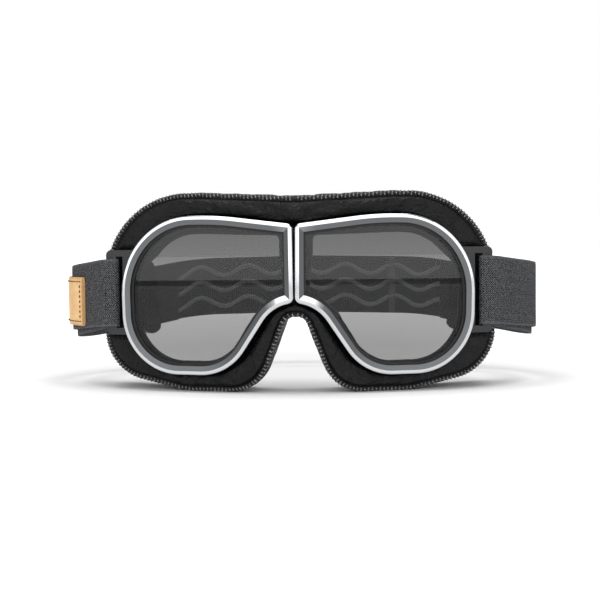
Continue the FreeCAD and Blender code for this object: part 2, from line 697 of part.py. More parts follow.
def slider(side, rest):
    # A flat loop round both layers of the strap: arched ends, and a window in its outer face.
    body = doc.addObject("PartDesign::Body", f"slider_{side}")
    plane = next(f for f in body.Origin.OriginFeatures if f.Role == "XZ_Plane")
    profile = body.newObject("Sketcher::SketchObject", f"slider_{side}_profile")
    profile.AttachmentSupport = [(plane, "")]
    profile.MapMode = "FlatFace"
    half = value_of("dims.slider_length / 2")
    top = value_of(f"{SLIDER_HEIGHT} / 2")
    rise = Vector(0, top + size("slider_arch"), 0)
    low_right, high_right = Vector(half, -top, 0), Vector(half, top, 0)
    high_left, low_left = Vector(-half, top, 0), Vector(-half, -top, 0)
    right_line = profile.addGeometry(Part.LineSegment(low_right, high_right), False)
    upper = profile.addGeometry(Part.Arc(high_right, rise, high_left), False)
    left_line = profile.addGeometry(Part.LineSegment(high_left, low_left), False)
    lower = profile.addGeometry(Part.Arc(low_left, -rise, low_right), False)
    ring = [right_line, upper, left_line, lower]
    for first, second in zip(ring, ring[1:] + ring[:1]):
        profile.addConstraint(Sketcher.Constraint("Coincident", first, 2, second, 1))
    ends = [(right_line, 1, 1, -1), (right_line, 2, 1, 1), (left_line, 1, -1, 1), (left_line, 2, -1, -1)]
    for line, end, x, z in ends:
        number = profile.addConstraint(Sketcher.Constraint("DistanceX", line, end, x * half))
        profile.setExpression(f"Constraints[{number}]", f"{x} * dims.slider_length / 2")
        number = profile.addConstraint(Sketcher.Constraint("DistanceY", line, end, z * top))
        profile.setExpression(f"Constraints[{number}]", f"{z} * {SLIDER_HEIGHT} / 2")
    bow = "((dims.slider_length / 2)^2 + dims.slider_arch^2) / (2 * dims.slider_arch)"
    for arc in (upper, lower):
        number = profile.addConstraint(Sketcher.Constraint("Radius", arc, value_of(bow)))
        profile.setExpression(f"Constraints[{number}]", bow)
    pad = body.newObject("PartDesign::Pad", f"slider_{side}_pad")
    pad.Profile = profile
    pad.Midplane = True
    bind(pad, Length=SLIDER_DEPTH)
    doc.recompute()
    slot = body.newObject("PartDesign::SubtractiveBox", f"slider_{side}_slot")
    slot.Placement = Placement(Vector(0, 0, 0), Rotation())
    bind(slot, Length="dims.slider_length + 2", Width=SLOT_DEPTH, Height=SLOT_HEIGHT)
    bind(slot, Placement__Base__x="-dims.slider_length / 2 - 1", Placement__Base__y=f"-{SLOT_DEPTH} / 2",
         Placement__Base__z=f"-{SLOT_HEIGHT} / 2")
    doc.recompute()
    opening = body.newObject("PartDesign::SubtractiveBox", f"slider_{side}_window")
    bind(opening, Length="dims.slider_window", Width=f"{SLIDER_DEPTH} / 2 + 1", Height=SLOT_HEIGHT)
    bind(opening, Placement__Base__x="-dims.slider_window / 2",
         Placement__Base__y=f"-{SLIDER_DEPTH} / 2 - 1", Placement__Base__z=f"-{SLOT_HEIGHT} / 2")
    doc.recompute()
    centre = straight.Length / 2 + rest
    origin, left, _ = spans([straight], 0, centre)[-1][-1]
    reach = size("slider_travel")
    before = straight.valueAt(straight.getParameterByLength(centre - reach / 2))
    after = straight.valueAt(straight.getParameterByLength(centre + reach / 2))
    heading = (after - before - Z_AXIS * (droop(after.y) - droop(before.y))).normalize()
    origin = origin + left * (layer_step / 2) + Z_AXIS * (size("strap_z") - droop(origin.y))
    if side == "left":
        origin, heading, left = (Vector(-v.x, v.y, v.z) for v in (origin, heading, left))
    upward = heading.cross(left).normalize()
    if upward.z < 0:
        heading, upward = heading * -1, upward * -1
    body.Placement = Placement(origin, Rotation(heading, left, upward, "ZXY"))
    return body


slider_right = slider("right", size("slider_rest_right"))
slider_left = slider("left", size("slider_rest_left"))
doc.recompute()

# sub-parts

# Y of the drawing's zero in the part's own frame, half way between the rims and the back of the strap.
ORIGIN_Y = "-(dims.strap_back_y + dims.strap_thickness / 2) / 2"

MIRRORED = {
    "bezel": bezel_right,
    "gasket": gasket_right,
    "lens": lens_right,
    "bracket": bracket_right,
    "rivets": rivets_right,
    "lining": lining_right,
    "foam": foam_right,
    "cover": cover_right,
    "strap": strap_right,
}
NAMES = {
    "bezel": "chrome_bezel",
    "gasket": "lens_gasket",
    "lens": "lens",
    "bracket": "strap_bracket",
    "rivets": "bracket_rivets",
    "lining": "face_lining",
    "foam": "foam_core",
    "cover": "leather_cover",
    "strap": "elastic_strap",
}
SINGLE = {
    "eyecup_frame_left": frame_left,
    "eyecup_frame_right": frame_right,
    "hinge_pin": hinge_pin,
    "bridge_pad": bridge_pad,
    "elastic_strap_back": strap_back,
    "silicone_grips": silicone_grips,
    "strap_label": strap_label,
    "strap_slider_left": slider_left,
    "strap_slider_right": slider_right,
}

sub_parts = []


def sub_part(label, item):
    item.Label = label
    bind(item, Placement__Base__y=ORIGIN_Y)
    sub_parts.append(item)
    return item


for label, item in SINGLE.items():
    if label.startswith("strap_slider"):
        item.Label = label
        item.Placement.Base.y += value_of(ORIGIN_Y)
        sub_parts.append(item)
    else:
        sub_part(label, item)
for key, item in MIRRORED.items():
    sub_part(f"{NAMES[key]}_right", item)
    twin = mirrored(f"{key}_twin", item)
    twin.Label = f"{NAMES[key]}_left"
    sub_parts.append(twin)
doc.recompute()

for item in doc.Objects:
    if "Invalid" in item.State or "Error" in item.State:
        raise RuntimeError(f"{item.Name} failed: {item.State}")
for item in sub_parts:
    shape = item.Shape
    if shape.isNull() or not shape.isValid() or shape.Volume <= 0:
        raise RuntimeError(f"{item.Label} is not a sound solid")

os.makedirs("parts", exist_ok=True)
for item in sub_parts:
    item.Shape.exportStep(f"parts/{item.Label}.step")
    print(f"{item.Label}: {len(item.Shape.Solids)} solid, {item.Shape.Volume:.0f} mm3")
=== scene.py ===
import bpy
import math
import numpy as np
from mathutils import Matrix, Quaternion, Vector, noise


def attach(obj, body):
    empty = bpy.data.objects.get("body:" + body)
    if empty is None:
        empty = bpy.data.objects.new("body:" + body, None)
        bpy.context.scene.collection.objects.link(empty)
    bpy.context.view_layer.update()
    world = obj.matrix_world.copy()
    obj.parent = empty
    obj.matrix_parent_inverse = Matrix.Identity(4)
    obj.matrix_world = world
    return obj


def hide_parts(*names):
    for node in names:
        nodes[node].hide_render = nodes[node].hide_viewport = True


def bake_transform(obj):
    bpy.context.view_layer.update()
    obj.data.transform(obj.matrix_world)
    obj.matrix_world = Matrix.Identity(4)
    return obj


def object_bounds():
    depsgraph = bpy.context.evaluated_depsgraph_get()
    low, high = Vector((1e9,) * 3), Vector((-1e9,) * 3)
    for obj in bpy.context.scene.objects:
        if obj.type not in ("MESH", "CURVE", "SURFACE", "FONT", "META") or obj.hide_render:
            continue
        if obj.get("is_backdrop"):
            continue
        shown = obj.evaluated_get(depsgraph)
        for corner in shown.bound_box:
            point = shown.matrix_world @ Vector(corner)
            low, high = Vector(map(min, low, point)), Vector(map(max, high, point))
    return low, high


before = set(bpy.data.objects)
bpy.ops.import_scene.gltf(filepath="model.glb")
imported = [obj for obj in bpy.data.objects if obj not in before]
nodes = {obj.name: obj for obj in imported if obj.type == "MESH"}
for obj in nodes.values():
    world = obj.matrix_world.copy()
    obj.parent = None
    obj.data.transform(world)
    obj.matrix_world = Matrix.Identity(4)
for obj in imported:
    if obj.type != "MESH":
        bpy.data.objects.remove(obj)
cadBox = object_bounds()
mm = 0.001
originY = -75.8  # the drawing's zero along Y, in mm: the chrome faces at the bridge
wrap = math.radians(16)
bpy.ops.object.select_all(action="DESELECT")


def toLinear(hexColour):
    channels = [int(hexColour[i:i + 2], 16) / 255 for i in (1, 3, 5)]
    return [c / 12.92 if c <= 0.04045 else ((c + 0.055) / 1.055) ** 2.4 for c in channels] + [1.0]


def smoothStep(value, low, high):
    share = min(max((value - low) / (high - low), 0.0), 1.0)
    return share * share * (3 - 2 * share)


# camera, floor and lights

camera = {"distance": 0.550, "aside": 0.0335, "height": 0.0685, "aimX": 0.0028, "aimZ": 0.0446, "lens": 71.7,
          "roll": 0.6}
frontY = originY * mm
bpy.ops.object.camera_add(location=(camera["aside"], frontY - camera["distance"], camera["height"]))
shot = bpy.context.object
shot.data.lens = camera["lens"]
shot.data.sensor_width = 36
shot.data.clip_start = 0.01
aim = Vector((camera["aimX"], frontY, camera["aimZ"])) - shot.location
shot.rotation_mode = "QUATERNION"
shot.rotation_quaternion = aim.to_track_quat("-Z", "Y") @ Quaternion((0, 0, 1), math.radians(-camera["roll"]))
bpy.context.scene.camera = shot
bpy.context.scene.view_settings.view_transform = "Standard"


def addNode(tree, kind, inputs=None, **settings):
    node = tree.nodes.new(kind)
    for name, value in settings.items():
        setattr(node, name, value)
    for name, value in (inputs or {}).items():
        if isinstance(value, bpy.types.NodeSocket):
            tree.links.new(value, node.inputs[name])
        else:
            node.inputs[name].default_value = value
    return node


def startMaterial(name, **values):
    # a new material with its Principled shader, whose plain values go straight on the sockets
    material = bpy.data.materials.new(name)
    material.use_nodes = True
    shader = material.node_tree.nodes["Principled BSDF"]
    for socket, value in values.items():
        shader.inputs[socket.replace("_", " ")].default_value = value
    return material, material.node_tree, shader


def colourRamp(tree, factor, *stops):
    ramp = addNode(tree, "ShaderNodeValToRGB", {0: factor})
    while len(ramp.color_ramp.elements) < len(stops):
        ramp.color_ramp.elements.new(0.5)
    for element, (place, hexColour) in zip(ramp.color_ramp.elements, stops):
        element.position = place
        element.color = toLinear(hexColour)
    return ramp.outputs["Color"]


studio = {"floorSize": 20.0, "floorColour": "#F4F4F4", "sky": 0.36, "backdrop": 1.0, "top": 16.0, "front": 13.0,
          "panelWidth": 1.7, "panelHeight": 1.3}
bpy.ops.mesh.primitive_plane_add(size=studio["floorSize"], location=(0, 0, 0))
floor = bpy.context.object
floor.name = "studioFloor"
floor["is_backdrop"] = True
floorPaint, tree, shader = startMaterial("mattePaintedFloor", Roughness=0.85)
speckle = addNode(tree, "ShaderNodeTexNoise", {"Scale": 60.0, "Detail": 3.0})
tree.links.new(colourRamp(tree, speckle.outputs["Fac"], (0.3, "#F2F2F2"), (0.7, studio["floorColour"])),
               shader.inputs["Base Color"])
# away from the goggles the floor glows to the camera, so that it meets the backdrop with no line
reach = addNode(tree, "ShaderNodeVectorMath", {0: addNode(tree, "ShaderNodeTexCoord").outputs["Object"]},
                operation="LENGTH")
ring = addNode(tree, "ShaderNodeMapRange",
               {"Value": reach.outputs["Value"], "From Min": 0.22, "From Max": 0.75})
farGlow = addNode(tree, "ShaderNodeMath",
                  {0: ring.outputs[0], 1: addNode(tree, "ShaderNodeLightPath").outputs["Is Camera Ray"]},
                  operation="MULTIPLY")
shader.inputs["Emission Color"].default_value = (1, 1, 1, 1)
tree.links.new(farGlow.outputs[0], shader.inputs["Emission Strength"])
floor.data.materials.append(floorPaint)

world = bpy.data.worlds.new("studioSky")
bpy.context.scene.world = world
world.use_nodes = True
sky = world.node_tree
seen = addNode(sky, "ShaderNodeLightPath")  # the backdrop is white to the eye, and lights more softly
glow = addNode(sky, "ShaderNodeMapRange",
               {"Value": seen.outputs["Is Camera Ray"], "To Min": studio["sky"], "To Max": studio["backdrop"]})
sky.nodes["Background"].inputs["Color"].default_value = (1, 1, 1, 1)
sky.links.new(glow.outputs[0], sky.nodes["Background"].inputs["Strength"])


def addPanel(name, place, target, width, height, power):
    bpy.ops.object.light_add(type="AREA", location=place)
    lamp = bpy.context.object
    lamp.name = name
    lamp.data.shape = "RECTANGLE"
    lamp.data.size = width
    lamp.data.size_y = height
    lamp.data.energy = power
    lamp.rotation_mode = "QUATERNION"
    lamp.rotation_quaternion = (Vector(target) - Vector(place)).to_track_quat("-Z", "Y")
    return lamp


addPanel("topBox", (0, -0.1, 1.3), (0, 0, 0), 1.2, 1.0, studio["top"])
for side in (-1, 1):
    # a soft box each side of the camera, standing on the floor: its foot is the straight edge in the lenses
    addPanel("frontBox", (side * 0.95, -1.45, 0.66), (side * 0.1, 0, 0.66), studio["panelWidth"],
             studio["panelHeight"], studio["front"])
print("camera, floor and lights are placed")

# outlines shared with the CAD, in mm: (x, z, corner radius)

rimCorners = [(0.9, 79.7, 3.0), (0.6, 43.4, 3.0), (11.6, 40.6, 20.0), (33.5, 8.5, 27.0), (88.0, 8.5, 29.5),
              (89.8, 83.9, 36.5), (40.0, 84.5, 150.0)]
padRight = [(4.2, 36.4, 5.0), (18.3, 0.0, 20.0), (54.0, 0.0, 40.0), (96.0, 9.5, 24.0), (94.8, 95.4, 42.0),
            (46.0, 95.4, 60.0)]
padCorners = padRight + [(0.0, 92.6, 60.0)] + [(-x, z, r) for x, z, r in reversed(padRight)]


def roundedOutline(corners, step=0.5):
    # the outline as close points, its corners turned into arcs
    points = []
    count = len(corners)
    for i, (x, z, radius) in enumerate(corners):
        corner = np.array((x, z))
        before = np.array(corners[i - 1][:2]) - corner
        after = np.array(corners[(i + 1) % count][:2]) - corner
        before, after = before / np.linalg.norm(before), after / np.linalg.norm(after)
        half = math.acos(np.clip(before @ after, -1, 1)) / 2
        middle = (before + after) / np.linalg.norm(before + after)
        centre = corner + middle * radius / math.sin(half)
        reach = radius / math.tan(half)
        first, last = corner + before * reach - centre, corner + after * reach - centre
        turn = math.atan2(first[0] * last[1] - first[1] * last[0], first @ last)
        steps = max(4, int(abs(turn) * radius / step))
        for k in range(steps + 1):
            angle = turn * k / steps
            c, s = math.cos(angle), math.sin(angle)
            points.append(centre + np.array((first[0] * c - first[1] * s, first[0] * s + first[1] * c)))
    points.append(points[0])
    closed = [points[0]]
    for a, b in zip(points, points[1:]):
        pieces = max(1, int(np.linalg.norm(b - a) / step))
        closed += [a + (b - a) * k / pieces for k in range(1, pieces + 1)]
    return np.array(closed[:-1])


def distanceTo(outline, point):
    # distance from a point to a closed outline of short segments
    start, run = outline, np.roll(outline, -1, axis=0) - outline
    share = np.clip(((point - start) * run).sum(1) / np.maximum((run * run).sum(1), 1e-12), 0, 1)
    return float(np.linalg.norm(start + run * share[:, None] - point, axis=1).min())


def reachAt(outline, centre, angle):
    # how far the outline is from a centre inside it, in one direction
    way = np.array((math.cos(angle), math.sin(angle)))
    a = outline - centre
    b = np.roll(outline, -1, axis=0) - centre
    crossA, crossB = way[0] * a[:, 1] - way[1] * a[:, 0], way[0] * b[:, 1] - way[1] * b[:, 0]
    hits = np.where((crossA <= 0) & (crossB > 0) | (crossA >= 0) & (crossB < 0))[0]
    found = []
    for i in hits:
        share = crossA[i] / (crossA[i] - crossB[i])
        distance = (a[i] + (b[i] - a[i]) * share) @ way
        if distance > 0:
            found.append(distance)
    return min(found)


def panePoint(x, depth):
    # a place in the turned pane's own frame to the drawing's frame, both in mm
    return x * math.cos(wrap) - depth * math.sin(wrap), x * math.sin(wrap) + depth * math.cos(wrap)


rimOutline = roundedOutline(rimCorners)
padOutline = roundedOutline(padCorners)

# padded leather frame

pad = {
    "wellTop": 8.5, "wellSides": 5.7, "flare": 5.2, "seatDepth": 9.25,
    "frontDepth": 7.3, "crown": 2.5, "rollRadius": 0.95, "grooveAt": 2.3,
    "grooveDepth": 0.7, "sidePull": 1.5, "faceRadius": 150.0, "faceBack": 36.0, "pitch": 1.5, "seamReach": 3.1,
    "pressure": 3.0, "cap": 1.4, "frames": 14,
}
eyeCentre = np.array((44.2, 47.0))
paneCentre = np.array((46.0, 47.0))


def frontDepthAt(x, z):
    # depth of the leather behind the pane's face: crowned between the rim and the sewn edge, and
    # sunk behind the hinge, the bracket and the strap
    depth = pad["frontDepth"]
    roll = pad["rollRadius"]
    paneX = (x + depth * math.sin(wrap)) / math.cos(wrap)
    fromRim = distanceTo(rimOutline, np.array((paneX, z)))
    fromEdge = distanceTo(padOutline, np.array((x, z)))
    if fromEdge < 2 * roll:
        depth += 0.65 - math.sqrt(max(roll ** 2 - (fromEdge - roll) ** 2, 0.0))
    else:
        room = max(fromEdge - pad["grooveAt"], 0.0)
        share = fromRim / max(fromRim + room, 1e-6)
        depth -= min(pad["crown"], 0.32 * (fromRim + fromEdge)) * max(math.sin(math.pi * share), 0.0) ** 0.65
        depth += pad["grooveDepth"] * math.exp(-((fromEdge - pad["grooveAt"]) / 0.55) ** 2)
        depth += 1.2 * (1 - smoothStep(fromRim, 0.2, 1.0))
    tab = smoothStep(paneX, 80.5, 82.5) * (1 - smoothStep(abs(z - 47.7), 21.3, 23.0))
    depth = max(depth, depth + (7.1 - depth) * tab)
    strapRoom = smoothStep(paneX, 86.8, 88.6) * (1 - smoothStep(abs(z - 47.7), 17.9, 20.6))
    depth += (12.2 - depth) * strapRoom
    knuckles = (1 - smoothStep(abs(x), 3.6, 7.0)) * smoothStep(z, 48.5, 51.0) * (1 - smoothStep(z, 78.2, 81.0))
    return depth + (12.9 - depth) * knuckles


def leanY(x, depth):
    # the turned pane's plane, its fold at the bridge softened
    return math.sqrt(x * x + 9.0) * math.tan(wrap) + depth / math.cos(wrap)


def backY(x):
    return pad["faceBack"] + pad["faceRadius"] - math.sqrt(pad["faceRadius"] ** 2 - x ** 2)


def padSection(edge, inward, middle):
    # one section of the right half from the well's front edge over the crown, the sewn roll, the
    # side, the lining and back along the well.  A middle section has no roll and no side.
    roll = pad["rollRadius"]
    angle = math.atan2(edge[1] - eyeCentre[1], edge[0] - eyeCentre[0])
    way = np.array((math.cos(angle), math.sin(angle)))
    rim = reachAt(rimOutline, paneCentre, angle)
    rimX, rimZ = paneCentre + way * (rim + 0.35)
    rimAt = np.array((panePoint(rimX, 8.0)[0], rimZ))
    rimAt[0] = max(rimAt[0], 0.9)
    inset = pad["wellSides"] + (pad["wellTop"] - pad["wellSides"]) * smoothStep(way[1], 0.1, 0.6)
    wellX, wellZ = paneCentre + way * (rim - inset)
    well = np.array((wellX * math.cos(wrap), wellZ))
    # the opening widens towards the face, except at the brow and the nose
    flare = pad["flare"] * smoothStep(0.6 - way[1], 0.0, 0.6) * smoothStep(way[0], -0.97, -0.5)
    flare = min(flare, max(np.linalg.norm(edge - well) - 7.5, 0.0))
    wellBack = well + way * flare
    points = []
    for share, sink in ((0.0, 1.6), (0.04, 0.6), (0.12, 0.1), (0.5, 0.0), (0.85, 0.0)):
        x, z = well + (rimAt - well) * share
        points.append((x, leanY(x, pad["seatDepth"]) + sink, z))
    seam = edge if middle else edge + inward * pad["seamReach"]
    run = seam - rimAt
    length = max(np.linalg.norm(run), 1e-6)
    firsts = [min(d / length, 0.06 * (i + 1)) for i, d in enumerate((0.0, 0.3, 0.8))]
    shares = firsts + [firsts[-1] + (1 - firsts[-1]) * k / 9 for k in range(1, 9)]
    spots = [rimAt + run * share for share in shares] + [seam]
    if not middle:
        spots += [edge + inward * e for e in (2.65, pad["grooveAt"], 2 * roll, 1.55 * roll, roll, 0.5 * roll,
                0.14 * roll, 0.0)]
    for x, z in spots:
        points.append((x, leanY(x, frontDepthAt(x, z)), z))
    if not middle:
        frontY = points[-1][1]
        for y, pull in ((0.57 * roll, 0.18), (0.94 * roll, 0.66), (1.35 * roll, 1.0), (2.1, 0.72), (3.2, 0.3)):
            x, z = edge + inward * pull
            points.append((x, frontY + y, z))
        sideRun = backY(edge[0]) - 2.8 - frontY - 3.2
        for k in range(1, 12):
            share = k / 11
            x, z = edge + inward * (0.3 - 0.6 * math.sin(math.pi * share) + (pad["sidePull"] - 0.3) * share ** 2)
            points.append((x, frontY + 3.2 + sideRun * share, z))
        for pull, sink in ((pad["sidePull"] + 0.4, 1.9), (pad["sidePull"] + 0.95, 0.75)):
            x, z = edge + inward * pull
            points.append((x, backY(x) - sink, z))
    x, z = seam
    points.append((x, backY(x) - 0.15, z))
    span = np.linalg.norm(wellBack - seam)
    for k in range(1, 10):
        x, z = seam + (wellBack - seam) * (1 - 1.6 / span) * k / 9
        points.append((x, backY(x) - 0.15 + 0.9 * math.sin(math.pi * k / 9) - 0.8 * (k / 9) ** 4, z))
    for left, sink in ((0.8, 1.7), (0.15, 3.2), (0.0, 5.0)):
        x, z = wellBack + (seam - wellBack) / span * left
        points.append((x, backY(x) - sink, z))
    fromY, toY = backY(wellBack[0]) - 5.0, leanY(well[0], pad["seatDepth"]) + 3.0
    for k in range(1, 7):
        x, z = wellBack + (well - wellBack) * k / 6
        points.append((x, fromY + (toY - fromY) * k / 6, z))
    return points


def padStations():
    # (place on the outer edge, inward direction, whether it is on the middle line) round the right half
    bottom = [i for i in range(len(padOutline))
              if padOutline[i][0] > 0 and padOutline[i - 1][0] <= 0 and padOutline[i][1] < 60][0]
    ring = np.roll(padOutline, -bottom, axis=0)
    half = ring[:[i for i in range(1, len(ring)) if ring[i][0] <= 0][0]]
    half = np.vstack([[0.0, half[0][1]], half, [0.0, half[-1][1]]])
    along = np.concatenate([[0], np.cumsum(np.linalg.norm(np.diff(half, axis=0), axis=1))])
    stops = np.linspace(0, along[-1], int(along[-1] / pad["pitch"]))
    places = np.column_stack([np.interp(stops, along, half[:, i]) for i in (0, 1)])
    runs = np.gradient(places, axis=0)
    stations = []
    for place, run in zip(places, runs):
        inward = np.array((-run[1], run[0])) / np.linalg.norm(run)
        stations.append((place, inward, False))
    stations[0] = (places[0], np.array((0.0, 1.0)), False)
    stations[-1] = (places[-1], np.array((0.0, -1.0)), False)
    high, low = places[-1][1] - pad["seamReach"], places[0][1] + pad["seamReach"]
    for z in np.linspace(high, low, int((high - low) / 1.3))[1:-1]:
        stations.append((np.array((0.0, z)), np.array((1.0, 0.0)), True))
    return stations


sectionSize = 62
seamIndex, backIndex = 16, 43
stations = padStations()
vertices, indices = [], []
for place, inward, middle in stations:
    points = padSection(place, inward, middle)
    row = list(range(seamIndex + 1)) + list(range(backIndex,
            sectionSize)) if middle else list(range(sectionSize))
    indices.append({j: len(vertices) + k for k, j in enumerate(row)})
    vertices += points
faces, liningFaces = [], []
for i, row in enumerate(indices):
    following = indices[(i + 1) % len(indices)]
    for j in range(sectionSize):
        k = (j + 1) % sectionSize
        if all(n in r for n in (j, k) for r in (row, following)):
            face = (row[j], row[k], following[k], following[j])
            faces.append(face)
            liningFaces.append(j >= 41)
count = len(vertices)
allVertices = vertices + [(-x, y, z) for x, y, z in vertices]
allFaces = faces + [tuple(v + count for v in reversed(face)) for face in faces]
mesh = bpy.data.meshes.new("paddedLeather")
mesh.from_pydata([((x) * mm, (y + originY) * mm, z * mm) for x, y, z in allVertices], [], allFaces)
sectionOf = np.zeros(len(allVertices), np.int32)
for half in (0, count):
    for row in indices:
        for j, v in row.items():
            sectionOf[v + half] = j
mesh.attributes.new("section", "INT", "POINT").data.foreach_set("value", sectionOf)
for polygon, lining in zip(mesh.polygons, liningFaces * 2):
    polygon.material_index = 1 if lining else 0
paddedLeather = bpy.data.objects.new("paddedLeather", mesh)
bpy.context.scene.collection.objects.link(paddedLeather)
bpy.context.view_layer.objects.active = paddedLeather
paddedLeather.select_set(True)
bpy.ops.object.mode_set(mode="EDIT")
bpy.ops.mesh.select_all(action="SELECT")
bpy.ops.mesh.remove_doubles(threshold=0.02 * mm)
bpy.ops.mesh.dissolve_degenerate(threshold=0.01 * mm)
bpy.ops.mesh.normals_make_consistent(inside=False)
bpy.ops.object.mode_set(mode="OBJECT")
paddedLeather.select_set(False)

# materials, each from what the real one is


def objectPlace(tree):
    return addNode(tree, "ShaderNodeTexCoord").outputs["Object"]


def addBump(tree, height, distance, strength=1.0, before=None):
    inputs = {"Height": height, "Distance": distance, "Strength": strength}
    if before is not None:
        inputs["Normal"] = before
    return addNode(tree, "ShaderNodeBump", inputs).outputs["Normal"]


def paint(node, material):
    nodes[node].data.materials.clear()
    nodes[node].data.materials.append(material)


# top-grain cowhide, drum-dyed black and lightly finished: pebbled grain about 1 mm across, soft
# sheen, fine creases, and a greyer rub where it is turned over the edge
leather, tree, shader = startMaterial("blackGrainCowhide", IOR=1.48, Specular_IOR_Level=0.22)
place = objectPlace(tree)
pebbles = addNode(tree, "ShaderNodeTexVoronoi", {"Vector": place, "Scale": 820.0, "Randomness": 0.9},
                  feature="SMOOTH_F1")
creases = addNode(tree, "ShaderNodeTexNoise",
                  {"Vector": place, "Scale": 170.0, "Detail": 7.0, "Roughness": 0.62, "Distortion": 0.8})
mottle = addNode(tree, "ShaderNodeTexNoise", {"Vector": place, "Scale": 38.0, "Detail": 4.0})
wear = addNode(tree, "ShaderNodeAttribute", attribute_name="wear")
rub = addNode(tree, "ShaderNodeMath", {0: wear.outputs["Fac"], 1: creases.outputs["Fac"]}, operation="MULTIPLY")
dye = colourRamp(tree, mottle.outputs["Fac"], (0.3, "#050505"), (0.72, "#101011"))
rubbed = addNode(tree, "ShaderNodeMix", {0: rub.outputs[0], 6: dye}, data_type="RGBA")
rubbed.inputs[7].default_value = toLinear("#343537")
tree.links.new(rubbed.outputs[2], shader.inputs["Base Color"])
gloss = addNode(tree, "ShaderNodeMapRange",
                {"Value": creases.outputs["Fac"], "From Min": 0.3, "From Max": 0.7,
                 "To Min": 0.34, "To Max": 0.6})
tree.links.new(gloss.outputs[0], shader.inputs["Roughness"])
grain = addBump(tree, pebbles.outputs["Distance"], 0.0005, 1.0)
tree.links.new(addBump(tree, creases.outputs["Fac"], 0.0011, 0.8, grain), shader.inputs["Normal"])

# brushed polyester fleece laminated to foam, where the frame meets the face: matte, short nap
fleece, tree, shader = startMaterial("blackBrushedFleece", Roughness=0.95)
place = objectPlace(tree)
nap = addNode(tree, "ShaderNodeTexNoise", {"Vector": place, "Scale": 2600.0, "Detail": 3.0})
patches = addNode(tree, "ShaderNodeTexNoise", {"Vector": place, "Scale": 90.0, "Detail": 4.0})
shader.inputs["Sheen Weight"].default_value = 0.35
shader.inputs["Sheen Roughness"].default_value = 0.6
tree.links.new(colourRamp(tree, patches.outputs["Fac"], (0.3, "#0A0A0A"), (0.7, "#161617")),
               shader.inputs["Base Color"])
tree.links.new(addBump(tree, nap.outputs["Fac"], 0.0005, 0.6), shader.inputs["Normal"])

# bonded polyester thread, whipped over the edge: charcoal with a twist pattern whose pale grey is a painted
# highlight, paler than the thread itself
thread, tree, shader = startMaterial("bondedPolyesterThreadPaintedHighlight", Roughness=0.5)
place = objectPlace(tree)
twist = addNode(tree, "ShaderNodeTexWave", {"Vector": place, "Scale": 420.0, "Distortion": 2.0},
                bands_direction="DIAGONAL")
# the pale stop is painted highlight: it stands in for the top light catching the dark grey thread
tree.links.new(colourRamp(tree, twist.outputs["Fac"], (0.25, "#2A2A2B"), (0.85, "#8E8F91")),
               shader.inputs["Base Color"])
tree.links.new(addBump(tree, twist.outputs["Fac"], 0.00008, 0.6), shader.inputs["Normal"])

# chrome plate on a die-cast rim: mirror outside; its inner slope satin and rougher, and its colour darkened to a
# quiet grey as painted shade for the dim reflection that slope shows
chrome, tree, shader = startMaterial("chromePlatedDieCast", Metallic=1.0)
place = objectPlace(tree)
shape = addNode(tree, "ShaderNodeTexCoord")
side = addNode(tree, "ShaderNodeSeparateXYZ", {0: place})
right = addNode(tree, "ShaderNodeMath", {0: side.outputs["X"], 1: 0.0}, operation="GREATER_THAN")
centre = addNode(tree, "ShaderNodeMix", {0: right.outputs[0]}, data_type="VECTOR")
centre.inputs[4].default_value = (-0.0442, -0.0605, 0.047)
centre.inputs[5].default_value = (0.0442, -0.0605, 0.047)
away = addNode(tree, "ShaderNodeVectorMath", {0: place, 1: centre.outputs[1]}, operation="SUBTRACT")
outward = addNode(tree, "ShaderNodeVectorMath", {0: away.outputs[0]}, operation="NORMALIZE")
facing = addNode(tree, "ShaderNodeVectorMath", {0: shape.outputs["Normal"], 1: outward.outputs[0]},
                 operation="DOT_PRODUCT")
slope = addNode(tree, "ShaderNodeMapRange",
                {"Value": facing.outputs["Value"], "From Min": -0.12, "From Max": -0.22,
                 "To Min": 0.0, "To Max": 1.0})
smudge = addNode(tree, "ShaderNodeTexNoise", {"Vector": place, "Scale": 140.0, "Detail": 5.0})
# the inward slope's darker grey is painted shade: it stands in for the dim reflection there, not a colour the plate
# has
chromeWithPaintedShade = addNode(tree, "ShaderNodeMix", {0: slope.outputs[0]}, data_type="RGBA")
chromeWithPaintedShade.inputs[6].default_value = toLinear("#C6C8CA")
chromeWithPaintedShade.inputs[7].default_value = toLinear("#6A6C6E")
tree.links.new(chromeWithPaintedShade.outputs[2], shader.inputs["Base Color"])
polish = addNode(tree, "ShaderNodeMapRange",
                 {"Value": smudge.outputs["Fac"], "From Min": 0.35, "From Max": 0.7,
                 "To Min": 0.05, "To Max": 0.13})
satin = addNode(tree, "ShaderNodeMix", {0: slope.outputs[0], 2: polish.outputs[0], 3: 0.42}, data_type="FLOAT")
tree.links.new(satin.outputs[0], shader.inputs["Roughness"])
for side in ("left", "right"):
    paint("chrome_bezel_" + side, chrome)

# moulded EPDM gasket: matte black with a faint bloom
rubber, tree, shader = startMaterial("mouldedEpdmRubber", Roughness=0.62)
bloom = addNode(tree, "ShaderNodeTexNoise", {"Vector": objectPlace(tree), "Scale": 260.0, "Detail": 5.0})
tree.links.new(colourRamp(tree, bloom.outputs["Fac"], (0.3, "#070707"), (0.75, "#141414")),
               shader.inputs["Base Color"])
tree.links.new(addBump(tree, bloom.outputs["Fac"], 0.0001, 0.3), shader.inputs["Normal"])
for side in ("left", "right"):
    paint("lens_gasket_" + side, rubber)

